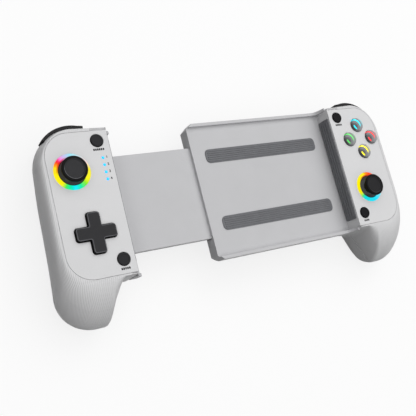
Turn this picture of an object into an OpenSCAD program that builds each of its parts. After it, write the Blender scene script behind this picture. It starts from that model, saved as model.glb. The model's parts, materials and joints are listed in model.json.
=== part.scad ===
// Telescopic handheld game controller, lying on its back.
// X runs along its length, Y up the face, Z out of the face; the origin is under the middle of its box.

/* [Device bay] */
// Clear length between the two face panels at rest
bay_len = 162; // [156:0.5:170]
// Depth of the bay floor below the face panels
bay_depth = 11.9; // [11:0.1:13]
// How far the cradle reaches across the bay from the right grip
cradle_len = 105; // [100:0.5:108]
// Thickness of the cradle under its floor
cradle_t = 9.1; // [9:0.1:10]
// Length of the slide plate inside the cradle at rest
slide_overlap = 34; // [30:0.5:38]

/* [Face panels] */
// Height of the face above the table
face_z = 36; // [34.5:0.5:38]
// Width of one face panel
panel_w = 38; // [37.5:0.25:39]
// Height of one face panel
panel_h = 83; // [82:0.5:85]
// Thickness of a face panel
panel_t = 2; // [1.8:0.1:2.2]
// Radius of the panels' outer corners
panel_r = 14.5; // [13:0.5:16]
// Seam between a panel and its shell
seam = 0.25; // [0.15:0.05:0.35]

/* [Grips] */
// Reach of the grips below the middle of the face
horn_y = 66.5; // [65:0.5:69]
// Wall of the grip shells
wall = 1.8; // [1.6:0.1:2]
// Height of the parting line between front and rear shells
part_z = 14; // [13.5:0.25:14.5]

/* [Controls] */
// Outer radius of the light ring round a stick
ring_r = 10.4; // [10:0.1:10.8]
// Radius of a stick cap
cap_r = 7.4; // [6.8:0.1:7.6]
// Height of a stick cap's rim above the face
cap_top = 6.1; // [5.8:0.1:6.6]
// Half length of the cross pad
cross_half = 11.4; // [11:0.1:12]
// Width of one arm of the cross pad
cross_arm = 7.2; // [6.8:0.1:7.8]
// Radius of a face button
face_button_r = 4.7; // [4.4:0.1:4.9]
// Distance from the middle of the four face buttons to each of them
face_button_pitch = 9.76; // [9.5:0.02:10]
// Radius of a small button
small_button_r = 3.6; // [3:0.1:3.7]
// Gap round a button in its hole
button_gap = 0.3; // [0.25:0.05:0.35]

/* [Hidden] */
$fn = 64;

shell_grey = [0.80, 0.80, 0.81];
panel_grey = [0.83, 0.83, 0.84];
dark_plastic = [0.10, 0.10, 0.11];
soft_grey = [0.28, 0.28, 0.30];
board_green = [0.05, 0.25, 0.16];
steel = [0.65, 0.66, 0.68];
clear_white = [0.92, 0.94, 0.96];

half_h = panel_h / 2;
trigger_top = half_h + 8.5;
// Distance of the face's middle from the origin along Y
face_y = (horn_y - trigger_top) / 2;
board_z = face_z - 12;
floor_z = face_z - bay_depth;
rim_z = floor_z + 2.2;
cradle_z = floor_z - cradle_t;

// Places on a grip are measured from the middle of its end wall, outwards along X and up along Y
small_button_x = 6.8;
upper_button_y = half_h - 6;
lower_button_y = -half_h + 8.1;
left_stick = [panel_w - 13.4, half_h - 22.4];
right_stick = [panel_w - 20.6, -half_h + 25.2];
cross_at = [panel_w - 19, -half_h + 24.9];
face_buttons_at = [panel_w - 15.7, half_h - 22.6];
light_pipe_x = 5.4;
light_pipe_y = half_h - 22.6;
light_pipe_pitch = 4.21;
post_places = [[5.2, 3], [panel_w - 3.5, -4], [panel_w - 6.5, -half_h + 7.5], [16.5, -half_h + 5.5]];
case_screw_places = [[12, -27], [panel_w - 7, -40], [panel_w - 16, 20]];

stick_pivot_z = face_z - 7;
cross_pivot_z = face_z - 6;

module right_grip() {
    translate([bay_len / 2, face_y, 0]) children();
}

module left_grip() {
    translate([0, face_y, 0]) mirror([1, 0, 0]) translate([bay_len / 2, 0, 0]) children();
}

module bay_middle() {
    translate([0, face_y, 0]) children();
}

// Rounded outlines with six corners each, clockwise from the top of the end wall: [x, y, radius]
grip_wide = [[0, half_h + 2.5, 1.5], [panel_w + 3.6, half_h + 4.5, 21], [panel_w + 6, -horn_y, 20],
    [17, -horn_y, 3.5], [5.2, -half_h - 2.4, 4], [0, -half_h - 2.4, 1.5]];
grip_front = [[0, half_h + 1.4, 1], [panel_w + 1.1, half_h + 3, 15], [panel_w + 1.1, -half_h - 2, 16],
    [13, -half_h - 2, 5], [6, -half_h - 1.2, 4], [0, -half_h - 1.2, 1]];
grip_back = [[5, half_h - 5.5, 3], [panel_w - 6, half_h - 5.5, 10], [panel_w, -horn_y + 15.5, 10],
    [18.5, -horn_y + 15.5, 6], [9.6, -half_h + 6.5, 3.5], [5, -half_h + 6.5, 2]];
panel_opening = [[1.2, half_h + seam, 0.02], [panel_w + seam, half_h + seam, panel_r + seam],
    [panel_w + seam, -half_h - seam, panel_r + seam], [16, -half_h - seam, 3], [8, -half_h - seam, 2],
    [1.2, -half_h - seam, 0.02]];
panel_ledge = [[wall, half_h - 1.2, 0.4], [panel_w - 0.4, half_h - 1.2, panel_r - 1.2],
    [panel_w - 0.4, -half_h + 1.2, panel_r - 1.2], [16, -half_h + 1.2, 3], [8, -half_h + 1.2, 2],
    [wall, -half_h + 1.2, 0.4]];
arc_steps = [3, 12, 14, 8, 6, 3];

function unit(v) = v / norm(v);
function flat(c) = [c[0], c[1]];
function smooth(t) = let (s = min(1, max(0, t))) s * s * (3 - 2 * s);

// Centre of the arc that rounds corner b between a and c
function arc_centre(a, b, c, r) =
    let (u = unit(a - b), w = unit(c - b), half = acos(u * w) / 2)
    b + unit(u + w) * r / sin(half);

// Points along one rounded corner; a straight corner gives points along its line
function corner_points(a, b, c, r, n) =
    let (u = unit(a - b), w = unit(c - b))
    norm(u + w) < 0.02
        ? [for (i = [0:n]) b + u * r * (1 - i / n) + w * r * i / n]
        : let (half = acos(u * w) / 2,
               o = arc_centre(a, b, c, r),
               p = b + u * r / tan(half) - o,
               q = b + w * r / tan(half) - o,
               start = atan2(p.y, p.x),
               turn = (atan2(q.y, q.x) - start + 540) % 360 - 180)
          [for (i = [0:n]) o + r * [cos(start + turn * i / n), sin(start + turn * i / n)]];

function corner(c, i) =
    corner_points(flat(c[(i + 5) % 6]), flat(c[i]), flat(c[(i + 1) % 6]), c[i][2], arc_steps[i]);

// The shoulder recess, where the bumper and trigger sit
shoulder_x = 14;
shoulder_y = half_h - 4.5;
shoulder_z = face_z - 3.2;
tail_x = 11.4;
tail_y = half_h + 1.1;

// Steps along the straight sides; on the top side they stay at the same x, where the recess begins
recess_marks = [for (x = [tail_x - wall, tail_x, shoulder_x - wall, shoulder_x], d = [-0.1, 0.1]) x + d];
side_steps = [[], [0.17, 0.33, 0.5, 0.67, 0.83], [0.5], [0.25, 0.5, 0.75], [0.5],
    [0.0012, 0.0075, 0.009, 0.25, 0.5, 0.75, 0.991, 0.9925, 0.9988]];
function steps(i, a, b) =
    i > 0 ? side_steps[i] : [for (x = concat(recess_marks, [18])) (x - a) / (b - a)];

// All points of a rounded outline, in the same order for every outline
function outline(c) = [for (i = [0:5])
    let (arc = corner(c, i), last = arc[arc_steps[i]], next = corner(c, (i + 1) % 6)[0])
    each concat(arc, [for (t = steps(i, last.x, next.x)) last + (next - last) * t])];

// The outline moved inwards by w
function inset(c, w) = [for (i = [0:5])
    let (a = flat(c[(i + 5) % 6]), b = flat(c[i]), d = flat(c[(i + 1) % 6]),
         e = unit(b - a), f = unit(d - b), n = [e.y, -e.x], m = [f.y, -f.x],
         p = b + (n + m) * w / (1 + n * m), outside = e.x * f.y - e.y * f.x < 0)
    [p.x, p.y, outside ? max(c[i][2] - w, 0.3) : c[i][2] + w]];

wide = outline(grip_wide);
front = outline(grip_front);
back = outline(grip_back);
opening = outline(panel_opening);
ledge = outline(panel_ledge);
wide_in = outline(inset(grip_wide, wall));
back_in = outline(inset(grip_back, 1.2));
count = len(wide);

// Where the recess holds the outline back
function limit(x, step, drop) =
    x > shoulder_x - step ? shoulder_y - drop + 0.35 * max(0, x - 34)
    : x > tail_x - step ? tail_y - drop : 999;
recess_out = [for (p = wide) p.y > 0 ? limit(p.x, 0, 0) : 999];
recess_in = [for (p = wide) p.y > 0 ? limit(p.x, wall, wall) : 999];
no_recess = [for (p = wide) 999];

// How far a curved side has drawn in at the share s of its height; p is its roundness, 2 for a quarter ellipse
function bulge(s, p) = 1 - pow(max(0, 1 - pow(s, p)), 1 / p);
grip_roundness = 1.55;
function mix(a, b, t) = [for (i = [0:count - 1]) a[i] + (b[i] - a[i]) * t];
function ring(points, recess, z) =
    [for (i = [0:count - 1]) [points[i].x, min(points[i].y, recess[i]), z]];

// Under the panel the end wall stops at the panel's underside
function top_of(p) = p.x < 1.5 && abs(p.y) < half_h + 0.2 ? face_z - panel_t : face_z;
function front_ring(s, recess) =
    let (m = mix(wide, front, bulge(s, grip_roundness)))
    [for (i = [0:count - 1]) [m[i].x, min(m[i].y, recess[i]), line_z[i] + (top_of(m[i]) - line_z[i]) * s]];
ledge_z = face_z - panel_t - 2.4;
function hollow_ring(s) =
    let (m = mix(wide_in, ledge, bulge(s, grip_roundness)))
    [for (i = [0:count - 1]) [m[i].x, min(m[i].y, recess_in[i]), line_z[i] + (ledge_z - line_z[i]) * s]];

// The widest line is high beside the panel and drops towards the handle's tip and the end wall
widest_z = face_z - 13;
tip_z = part_z + 1.5;
line_z = [for (p = wide)
    tip_z + (widest_z - tip_z) * smooth((p.y + horn_y - 4.5) / 37) * smooth((p.x - 2) / 10)];

// The back is flat under the grip and climbs towards the triggers
function back_z(y) = 12 * smooth((y - 5) / 35);
function back_point(outer, inner, i, s, recess, lift) =
    let (q = outer[i] + (inner[i] - outer[i]) * bulge(s, 2), y = min(q.y, recess[i]))
    [q.x, y, line_z[i] + (back_z(y) + lift - line_z[i]) * s];
// Share of the way from the widest line to the back at which a point passes the parting plane
function part_share(outer, inner, i, recess, lift, s, n) =
    let (y = back_point(outer, inner, i, s, recess, lift).y,
         t = (line_z[i] - part_z) / (line_z[i] - back_z(y) - lift))
    n == 0 ? t : part_share(outer, inner, i, recess, lift, t, n - 1);
share_out = [for (i = [0:count - 1]) part_share(wide, back, i, recess_out, 0, 0.4, 8)];
share_in = [for (i = [0:count - 1]) part_share(wide_in, back_in, i, recess_in, wall, 0.4, 8)];
// Rings of the outside and the inside: t is 0 at the parting plane, 1 at the back and -1 at the widest line
function along(share, t) = t < 0 ? share * (1 + t) : share + (1 - share) * t;
function level(p, t) = t == 0 ? [p.x, p.y, part_z] : p;
function outer_ring(t) = [for (i = [0:count - 1])
    level(back_point(wide, back, i, along(share_out[i], t), recess_out, 0), t)];
function inner_ring(t) = [for (i = [0:count - 1])
    level(back_point(wide_in, back_in, i, along(share_in[i], t), recess_in, wall), t)];
back_heart = [23, -8];
function back_cap(points, t, lift) =
    [for (p = points) let (q = back_heart + (p - back_heart) * t) [q.x, q.y, back_z(q.y) + lift]];

function strip(k, n) = [for (i = [0:count - 1])
    let (a = k * count + i, b = k * count + (i + 1) % count,
         c = ((k + 1) % n) * count + (i + 1) % count, d = ((k + 1) % n) * count + i)
    each [[a, b, c], [a, c, d]]];

// A closed tube of rings, the last joined to the first
module ring_loop(rings) {
    polyhedron([for (r = rings) each r], [for (k = [0:len(rings) - 1]) each strip(k, len(rings))]);
}

// A stack of rings closed by a point at each end
module ring_stack(first, rings, last) {
    n = len(rings);
    low = n * count;
    polyhedron(concat([for (r = rings) each r], [first, last]),
        concat([for (k = [0:n - 2]) each strip(k, n)],
            [for (i = [0:count - 1]) [low, (i + 1) % count, i]],
            [for (i = [0:count - 1])
                [low + 1, (n - 1) * count + i, (n - 1) * count + (i + 1) % count]]));
}

shelf_s = (shoulder_z - widest_z) / (face_z - widest_z);

module grip_front_shell() {
    ring_loop(concat(
        [for (t = [0, -0.5]) outer_ring(t)],
        [for (s = [0, 0.25, 0.45, 0.62, shelf_s]) front_ring(s, recess_out)],
        [for (s = [shelf_s + 0.004, 0.86, 0.93, 0.975, 1]) front_ring(s, no_recess)],
        [[for (p = opening) [p.x, p.y, top_of(p)]],
         ring(opening, no_recess, face_z - panel_t - 0.1),
         ring(ledge, recess_in, face_z - panel_t - 0.1)],
        [for (s = [1, 0.85, 0.6, 0.3, 0]) hollow_ring(s)],
        [for (t = [-0.5, 0]) inner_ring(t)]));
}

module grip_rear_shell() {
    curve = [0, 0.25, 0.48, 0.68, 0.84, 0.95, 1];
    caps = [0.7, 0.35];
    ring_stack(
        [back_heart.x, back_heart.y, back_z(back_heart.y)],
        concat(
            [for (i = [1:-1:0]) back_cap(back, caps[i], 0)],
            [for (i = [6:-1:0]) outer_ring(curve[i])],
            [for (i = [0:6]) inner_ring(curve[i])],
            [for (i = [0:1]) back_cap(back_in, caps[i], wall)]),
        [back_heart.x, back_heart.y, back_z(back_heart.y) + wall]);
}

function screw_seat(p) = back_z(p.y) + 3.2;

module rear_shell_with_bosses() {
    difference() {
        union() {
            grip_rear_shell();
            for (p = case_screw_places)
                translate([p.x, p.y, back_z(p.y) + 0.9])
                    cylinder(r = 3.6, h = part_z - back_z(p.y) - 1.2);
        }
        for (p = case_screw_places)
            translate([p.x, p.y, -1]) {
                cylinder(r = 2.3, h = screw_seat(p) + 1);
                cylinder(r = 1.1, h = part_z + 2);
            }
    }
}

module case_screws() {
    for (p = case_screw_places)
        translate([p.x, p.y, screw_seat(p)]) {
            difference() {
                translate([0, 0, -1.4]) cylinder(r = 2.05, h = 1.4);
                for (a = [0, 90])
                    rotate(a) translate([-1.2, -0.2, -2]) cube([2.4, 0.4, 1.2]);
            }
            cylinder(r = 1, h = part_z - screw_seat(p) - 0.4);
        }
}

// Outline of a face panel, flush with the end wall on its inner side
module panel_outline() {
    difference() {
        translate([0, -half_h]) square([panel_w, panel_h]);
        for (y = [-1, 1])
            translate([panel_w - panel_r, y > 0 ? half_h - panel_r : -half_h])
                square([panel_r, panel_r]);
    }
    for (y = [-1, 1])
        intersection() {
            translate([panel_w - panel_r, y * (half_h - panel_r)]) circle(r = panel_r);
            translate([panel_w - panel_r, y > 0 ? half_h - panel_r : -half_h]) square([panel_r, panel_r]);
        }
}

module rounded_bar(length, width, r) {
    square([length - 2 * r, width], center = true);
    square([length, width - 2 * r], center = true);
    for (x = [-1, 1], y = [-1, 1])
        translate([x * (length / 2 - r), y * (width / 2 - r)]) circle(r = r);
}

module cross_outline(extra) {
    for (a = [0, 90])
        rotate(a) rounded_bar(2 * (cross_half + extra), cross_arm + 2 * extra, 1.5 + extra);
}

module small_button_holes() {
    for (y = [upper_button_y, lower_button_y])
        translate([small_button_x, y]) circle(r = small_button_r + button_gap);
}

module panel_posts() {
    for (p = post_places)
        translate([p.x, p.y, board_z]) cylinder(r = 1.8, h = face_z - panel_t - board_z + 0.5);
}

module panel_plate() {
    translate([0, 0, face_z - panel_t]) linear_extrude(panel_t) children();
}

module left_front_panel() {
    color(panel_grey) left_grip() {
        panel_plate() difference() {
            panel_outline();
            small_button_holes();
            translate(left_stick) circle(r = ring_r + 0.05);
            translate(cross_at) cross_outline(0.55);
            for (i = [-1.5:1.5])
                translate([light_pipe_x, light_pipe_y + i * light_pipe_pitch]) circle(r = 0.85);
        }
        panel_posts();
    }
}

module right_front_panel() {
    color(panel_grey) right_grip() {
        panel_plate() difference() {
            panel_outline();
            small_button_holes();
            translate(right_stick) circle(r = ring_r + 0.05);
            for (a = [0:90:270])
                translate(face_buttons_at) rotate(a) translate([face_button_pitch, 0])
                    circle(r = face_button_r + button_gap);
        }
        panel_posts();
    }
}

module left_front_shell() {
    color(shell_grey) left_grip() grip_front_shell();
}

socket_at = [5, face_z - 13.6];

module right_front_shell() {
    color(shell_grey) right_grip() difference() {
        grip_front_shell();
        translate([socket_at.x, half_h + 6, socket_at.y]) rotate([90, 0, 0])
            linear_extrude(8) rounded_bar(3.6, 9.3, 1.75);
    }
}

module left_rear_shell() {
    color(shell_grey) left_grip() rear_shell_with_bosses();
}

module right_rear_shell() {
    color(shell_grey) right_grip() rear_shell_with_bosses();
}

module left_case_screws() {
    color(steel) left_grip() case_screws();
}

module right_case_screws() {
    color(steel) right_grip() case_screws();
}

// Section of the cradle, also used for the end block of the slide plate
module cradle_section() {
    w = half_h + 2.4;
    r = 4;
    translate([-w, cradle_z + r]) square([2 * w, floor_z - cradle_z - r]);
    translate([-w + r, cradle_z]) square([2 * w - 2 * r, r + 1]);
    for (y = [-1, 1]) {
        translate([y * (w - r), cradle_z + r]) circle(r = r);
        translate([y > 0 ? w - 2 : -w, floor_z - 1]) square([2, rim_z - floor_z + 1]);
    }
}

// Cheek that climbs from the rim to the face beside the end wall
module cheek() {
    run = 6.5;
    for (y = [-half_h - 2.4, half_h + 0.4])
        translate([0, y + 2, 0]) rotate([90, 0, 0]) linear_extrude(2)
            difference() {
                translate([-run, rim_z - 0.5]) square([run, face_z - 1.4 - rim_z]);
                translate([-run, rim_z + 9.4]) scale([run - 0.8, 9.4]) circle(r = 1);
            }
}

slide_half = 29.5;
slide_gap = 0.4;
cover_t = 1.8;
slide_z = cradle_z + cover_t + slide_gap;
slide_t = floor_z - 1.8 - slide_gap - slide_z;
mouth_x = bay_len / 2 - cradle_len;
end_block = 5;
channel_end = bay_len / 2 - 3;
slide_tip = mouth_x + slide_overlap;
cover_half = slide_half + slide_gap + 4.6;
cover_screws = [for (x = [mouth_x + 5, bay_len / 2 - 8], y = [-1, 1]) [x, y * (cover_half - 2.5)]];

// Sections drawn in Y and Z are run along X from x0 to x1
module along_x(x0, x1) {
    translate([x0, 0, 0]) rotate([90, 0, 90]) linear_extrude(x1 - x0) children();
}

module cradle_tray() {
    inner = slide_half + slide_gap;
    color(shell_grey) bay_middle() difference() {
        union() {
            along_x(mouth_x, bay_len / 2) cradle_section();
            translate([bay_len / 2, 0, 0]) cheek();
        }
        translate([mouth_x - 1, -inner, cradle_z - 1])
            cube([channel_end - mouth_x + 1, 2 * inner, floor_z - 1.8 - cradle_z + 1]);
        translate([mouth_x - 1, -cover_half - 0.1, cradle_z - 1])
            cube([channel_end - mouth_x + 3.1, 2 * cover_half + 0.2, cover_t + 1]);
        for (p = cover_screws)
            translate([p.x, p.y, cradle_z]) cylinder(r = 0.9, h = 6);
        for (y = [-1, 1])
            translate([mouth_x, y * (half_h + 2.4), cradle_z - 1])
                linear_extrude(bay_depth + 20)
                    polygon([[-1, y * 1], [3, y * 1], [3, 0], [0, -y * 3], [-1, -y * 3]]);
    }
}

module cradle_cover() {
    color(shell_grey) bay_middle() difference() {
        translate([mouth_x, -cover_half, cradle_z]) cube([channel_end - mouth_x + 2, 2 * cover_half, cover_t]);
        for (p = cover_screws)
            translate([p.x, p.y, cradle_z]) {
                translate([0, 0, -1]) cylinder(r = 1.1, h = cover_t + 2);
                translate([0, 0, -1]) cylinder(r = 1.95, h = 2);
            }
    }
}

module cradle_screws() {
    color(steel) bay_middle() for (p = cover_screws)
        translate([p.x, p.y, cradle_z + 1]) {
            difference() {
                translate([0, 0, -0.9]) cylinder(r = 1.8, h = 0.9);
                for (a = [0, 90])
                    rotate(a) translate([-1, -0.2, -1.5]) cube([2, 0.4, 1.1]);
            }
            cylinder(r = 0.85, h = 4.6);
        }
}

module tray_pads() {
    color(soft_grey) bay_middle() for (y = [-1, 1])
        translate([(mouth_x + bay_len / 2) / 2, y * (half_h - 19.5), floor_z]) linear_extrude(0.8)
            rounded_bar(cradle_len - 18, 9, 3);
}

module slide_plate() {
    color(shell_grey) bay_middle() {
        along_x(-bay_len / 2, -bay_len / 2 + end_block) cradle_section();
        mirror([1, 0, 0]) translate([bay_len / 2, 0, 0]) intersection() {
            cheek();
            translate([-end_block, -100, 0]) cube([end_block, 200, 100]);
        }
        translate([-bay_len / 2 + end_block - 0.5, -slide_half, slide_z])
            cube([slide_tip + bay_len / 2 - end_block + 0.5, 2 * slide_half, slide_t]);
    }
}

module slide_springs() {
    color(steel) bay_middle() for (y = [-1, 1])
        translate([slide_tip, y * (slide_half - 9.5), slide_z + slide_t / 2]) rotate([0, 90, 0])
            difference() {
                cylinder(r = 2, h = channel_end - slide_tip);
                translate([0, 0, 1]) cylinder(r = 1.5, h = channel_end - slide_tip - 2);
            }
}

module ribbon_cable() {
    run = channel_end - slide_tip;
    wave = [for (i = [0:24]) [slide_tip + run * i / 24, slide_z + slide_t / 2 + 1.2 * sin(360 * i / 24)]];
    color([0.75, 0.45, 0.15]) bay_middle()
        translate([0, 7, 0]) rotate([90, 0, 0]) linear_extrude(14)
            polygon(concat([for (p = wave) p], [for (i = [24:-1:0]) wave[i] + [0, 0.3]]));
}

module end_pad() {
    translate([-1.2, -half_h + 5.5, floor_z + 0.5]) cube([1.2, panel_h - 11, bay_depth - 2]);
}

module left_end_pad() {
    color(soft_grey) left_grip() end_pad();
}

module right_end_pad() {
    color(soft_grey) right_grip() end_pad();
}

// Light ring set into the panel, its bore widening downwards to clear the stick's dome
module light_ring() {
    translate([0, 0, face_z]) rotate_extrude()
        polygon([[ring_r - 1.55, 0.15], [ring_r, 0.15], [ring_r, -panel_t], [ring_r - 0.6, -panel_t],
            [ring_r - 1.55, -0.6]]);
}

module left_light_ring() {
    color(clear_white) left_grip() translate(left_stick) light_ring();
}

module right_light_ring() {
    color(clear_white) right_grip() translate(right_stick) light_ring();
}

// Stick parts are drawn about the stick's pivot
module stick_base() {
    low = board_z - stick_pivot_z;
    difference() {
        translate([0, 0, low]) cylinder(r = 7.4, h = 1.8 - low);
        translate([0, 0, low + 0.8]) cylinder(r = 5.6, h = 4 - low);
        rotate([0, 90, 0]) cylinder(r = 1.08, h = 20, center = true);
    }
}

module stick_yoke() {
    difference() {
        union() {
            cylinder(r = 5, h = 2.6, center = true);
            rotate([0, 90, 0]) cylinder(r = 1, h = 13.6, center = true);
        }
        cylinder(r = 3.6, h = 4, center = true);
        rotate([90, 0, 0]) cylinder(r = 1.08, h = 12, center = true);
    }
}

module stick_stem() {
    translate([0, 0, -2]) cylinder(r = 2.4, h = 4);
    translate([0, 0, 1]) cylinder(r = 1.5, h = 7.2);
    rotate([90, 0, 0]) cylinder(r = 1, h = 9.6, center = true);
}

dome_r = 10.6;
module stick_cap() {
    top = face_z - stick_pivot_z + cap_top;
    rotate_extrude() difference() {
        circle(r = dome_r);
        circle(r = dome_r - 1);
        polygon([[-20, -20], [-20, 20], [0, 20], [0, 0], [20, 6.5], [20, -20]]);
    }
    rotate_extrude() translate([1.6, 4.6]) square([1.6, 5.4]);
    rotate_extrude()
        polygon([[0, 8.9], [0, top - 0.8], [cap_r - 2.5, top - 0.7], [cap_r - 1.7, top - 0.1],
            [cap_r - 1.1, top], [cap_r - 0.4, top - 0.2], [cap_r, top - 0.7], [cap_r, top - 1.5],
            [cap_r - 0.5, top - 2.1], [4.4, top - 2.4], [4, 8.9]]);
}

module at_left_stick() {
    left_grip() translate([left_stick.x, left_stick.y, stick_pivot_z]) children();
}

module at_right_stick() {
    right_grip() translate([right_stick.x, right_stick.y, stick_pivot_z]) children();
}

module left_stick_base() { color(dark_plastic) at_left_stick() stick_base(); }
module right_stick_base() { color(dark_plastic) at_right_stick() stick_base(); }
module left_stick_yoke() { color(steel) at_left_stick() stick_yoke(); }
module right_stick_yoke() { color(steel) at_right_stick() stick_yoke(); }
module left_stick_stem() { color(steel) at_left_stick() stick_stem(); }
module right_stick_stem() { color(steel) at_right_stick() stick_stem(); }
module left_stick_cap() { color(dark_plastic) at_left_stick() stick_cap(); }
module right_stick_cap() { color(dark_plastic) at_right_stick() stick_cap(); }

module circuit_board() {
    translate([0, 0, board_z - 1.2]) linear_extrude(1.2)
        polygon([[wall + 0.3, -half_h + 2.5], [panel_w - 8, -half_h + 2.5], [panel_w - 2.5, -half_h + 8.5],
            [panel_w - 2.5, half_h - 16.5], [panel_w - 10, half_h - 7.5], [11, half_h - 7.5],
            [11, half_h - 4.7], [wall + 0.3, half_h - 4.7]]);
}

module left_circuit_board() {
    color(board_green) left_grip() circuit_board();
}

module right_circuit_board() {
    color(board_green) right_grip() circuit_board();
}

// Rubber sheet on the board with a pillar under each button
module membrane_pad(at, size) {
    translate([at.x - size.x / 2, at.y - size.y / 2, board_z]) cube([size.x, size.y, 0.8]);
}

module pillar(at, r, top) {
    translate([at.x, at.y, board_z]) cylinder(r = r, h = top - board_z);
}

small_pillar_top = face_z - 4.4;
module small_button_pad(y) {
    membrane_pad([small_button_x, y - 1.4], [7, 5]);
    pillar([small_button_x, y - 1], 1.6, small_pillar_top);
}

module right_membrane() {
    color(soft_grey) right_grip() {
        membrane_pad(face_buttons_at + [-1, 0], [24, 26]);
        for (a = [0:90:270])
            pillar(face_buttons_at + face_button_pitch * [cos(a), sin(a)], 2.4, face_z - 5);
        small_button_pad(upper_button_y);
        small_button_pad(lower_button_y);
    }
}

module left_membrane() {
    color(soft_grey) left_grip() {
        difference() {
            membrane_pad(cross_at, [26, 25]);
            translate([cross_at.x, cross_at.y, 0]) cylinder(r = 6.8, h = face_z);
        }
        for (a = [0:90:270])
            pillar(cross_at + 9 * [cos(a), sin(a)], 2, face_z - 5.6);
        small_button_pad(upper_button_y);
        small_button_pad(lower_button_y);
    }
}

// Face buttons have a domed top and a flange that keeps them behind the panel
module face_button(a) {
    color(clear_white) right_grip()
        translate([face_buttons_at.x + face_button_pitch * cos(a),
            face_buttons_at.y + face_button_pitch * sin(a), face_z])
            rotate_extrude()
                polygon([[0, -3.4], [face_button_r + 0.6, -3.4], [face_button_r + 0.6, -2.4],
                    [face_button_r, -2.4], [face_button_r, 1.2], [face_button_r - 0.25, 1.65],
                    [face_button_r - 0.8, 1.95], [face_button_r - 2, 2.2], [0, 2.35]]);
}

module face_button_north() { face_button(90); }
module face_button_east() { face_button(0); }
module face_button_south() { face_button(270); }
module face_button_west() { face_button(180); }

module small_button(y) {
    translate([small_button_x, y, face_z])
        rotate_extrude()
            polygon([[0, -3.4], [small_button_r + 0.6, -3.4], [small_button_r + 0.6, -2.4],
                [small_button_r, -2.4], [small_button_r, 0.5], [small_button_r - 0.3, 0.8], [0, 0.9]]);
}

module start_button() { color(dark_plastic) right_grip() small_button(upper_button_y); }
module home_button() { color(dark_plastic) right_grip() small_button(lower_button_y); }
module select_button() { color(dark_plastic) left_grip() small_button(upper_button_y); }
module turbo_button() { color(dark_plastic) left_grip() small_button(lower_button_y); }

module at_cross() {
    left_grip() translate([cross_at.x, cross_at.y, cross_pivot_z]) children();
}

// Cross pad with its flange and the stem that carries its pins
module cross_pad() {
    up = face_z - cross_pivot_z;
    color(dark_plastic) at_cross() {
        translate([0, 0, up - 3.9]) linear_extrude(5.6) cross_outline(0);
        translate([0, 0, up + 1.7]) linear_extrude(0.6) cross_outline(-0.5);
        translate([0, 0, up - 3.9]) cylinder(r = 9, h = 0.9);
        translate([0, 0, -1.4]) cylinder(r = 1.6, h = 4);
        rotate([90, 0, 0]) cylinder(r = 0.7, h = 6.8, center = true);
    }
}

module cross_rocker() {
    color(steel) at_cross() difference() {
        union() {
            cylinder(r = 3.6, h = 1.8, center = true);
            rotate([0, 90, 0]) cylinder(r = 0.7, h = 10, center = true);
        }
        cylinder(r = 2.4, h = 3, center = true);
        rotate([90, 0, 0]) cylinder(r = 0.78, h = 10, center = true);
    }
}

module cross_base() {
    low = board_z - cross_pivot_z;
    color(dark_plastic) at_cross() difference() {
        translate([0, 0, low]) cylinder(r = 5.8, h = 1.2 - low);
        translate([0, 0, low + 0.8]) cylinder(r = 4.1, h = 4 - low);
        rotate([0, 90, 0]) cylinder(r = 0.78, h = 20, center = true);
    }
}

module player_lights() {
    color(clear_white) left_grip() {
        translate([light_pipe_x - 1.2, light_pipe_y - 2 * light_pipe_pitch, face_z - panel_t - 2])
            cube([2.4, 4 * light_pipe_pitch, 2]);
        for (i = [-1.5:1.5])
            translate([light_pipe_x, light_pipe_y + i * light_pipe_pitch, face_z - panel_t - 1])
                cylinder(r = 0.8, h = panel_t + 1.15);
    }
}

// Shoulder parts: the bumper turns on an upright pin, the trigger on a pin along X
bumper_pin_at = [16.5, half_h - 0.5];
trigger_pin_at = [half_h - 1.1, face_z - 17.5];
trigger_span = [16.2, 28.5];
bumper_z = [face_z - 11.6, face_z - 3.6];
shoulder_centre = arc_centre(flat(grip_wide[0]), flat(grip_wide[1]), flat(grip_wide[2]), grip_wide[1][2]);
shoulder_r = grip_wide[1][2];
bumper_centre = shoulder_centre + [-1, 0.6];
bumper_r = shoulder_r + 1.6;

module shoulder_bracket() {
    inner = [shoulder_x + 0.4, shoulder_x + 1.8];
    outer = [trigger_span[1] + 0.4, trigger_span[1] + 1.8];
    arm_z = bumper_z[0] - 1.5;
    difference() {
        union() {
            translate([inner[0], shoulder_y, trigger_pin_at.y - 3.5])
                cube([outer[1] - inner[0], 0.7, arm_z + 1.2 - trigger_pin_at.y + 3.5]);
            for (x = [inner, outer])
                along_x(x[0], x[1]) {
                    translate(trigger_pin_at) circle(r = 2.4);
                    translate([shoulder_y, trigger_pin_at.y - 2.4])
                        square([trigger_pin_at.x - shoulder_y, 4.8]);
                }
            translate([inner[0], shoulder_y, arm_z]) cube([5, bumper_pin_at.y - shoulder_y + 2.4, 1.2]);
        }
        translate([bumper_pin_at.x, bumper_pin_at.y, arm_z - 1]) cylinder(r = 1.22, h = 4);
        translate([inner[0] - 1, trigger_pin_at.x, trigger_pin_at.y]) rotate([0, 90, 0])
            cylinder(r = 1.22, h = 40);
    }
}

module bumper() {
    h = bumper_z[1] - bumper_z[0];
    difference() {
        translate([0, 0, bumper_z[0]]) intersection() {
            union() {
                translate(bumper_centre) cylinder(r = bumper_r, h = h);
                linear_extrude(h) polygon([[tail_x + 0.4, shoulder_y], [tail_x + 0.4, half_h + 4.8],
                    [bumper_centre.x, bumper_centre.y + bumper_r], [bumper_centre.x, shoulder_y]]);
            }
            linear_extrude(h) polygon([[tail_x + 0.4, tail_y + 0.7], [shoulder_x + 0.6, tail_y + 0.7],
                [shoulder_x + 0.6, shoulder_y + 0.8], [33, shoulder_y + 1.3], [panel_w + 8, shoulder_y + 5.2],
                [panel_w + 8, half_h + 20], [tail_x + 0.4, half_h + 20]]);
        }
        translate([bumper_pin_at.x, bumper_pin_at.y, 0]) cylinder(r = 1.28, h = face_z);
    }
}

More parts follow.
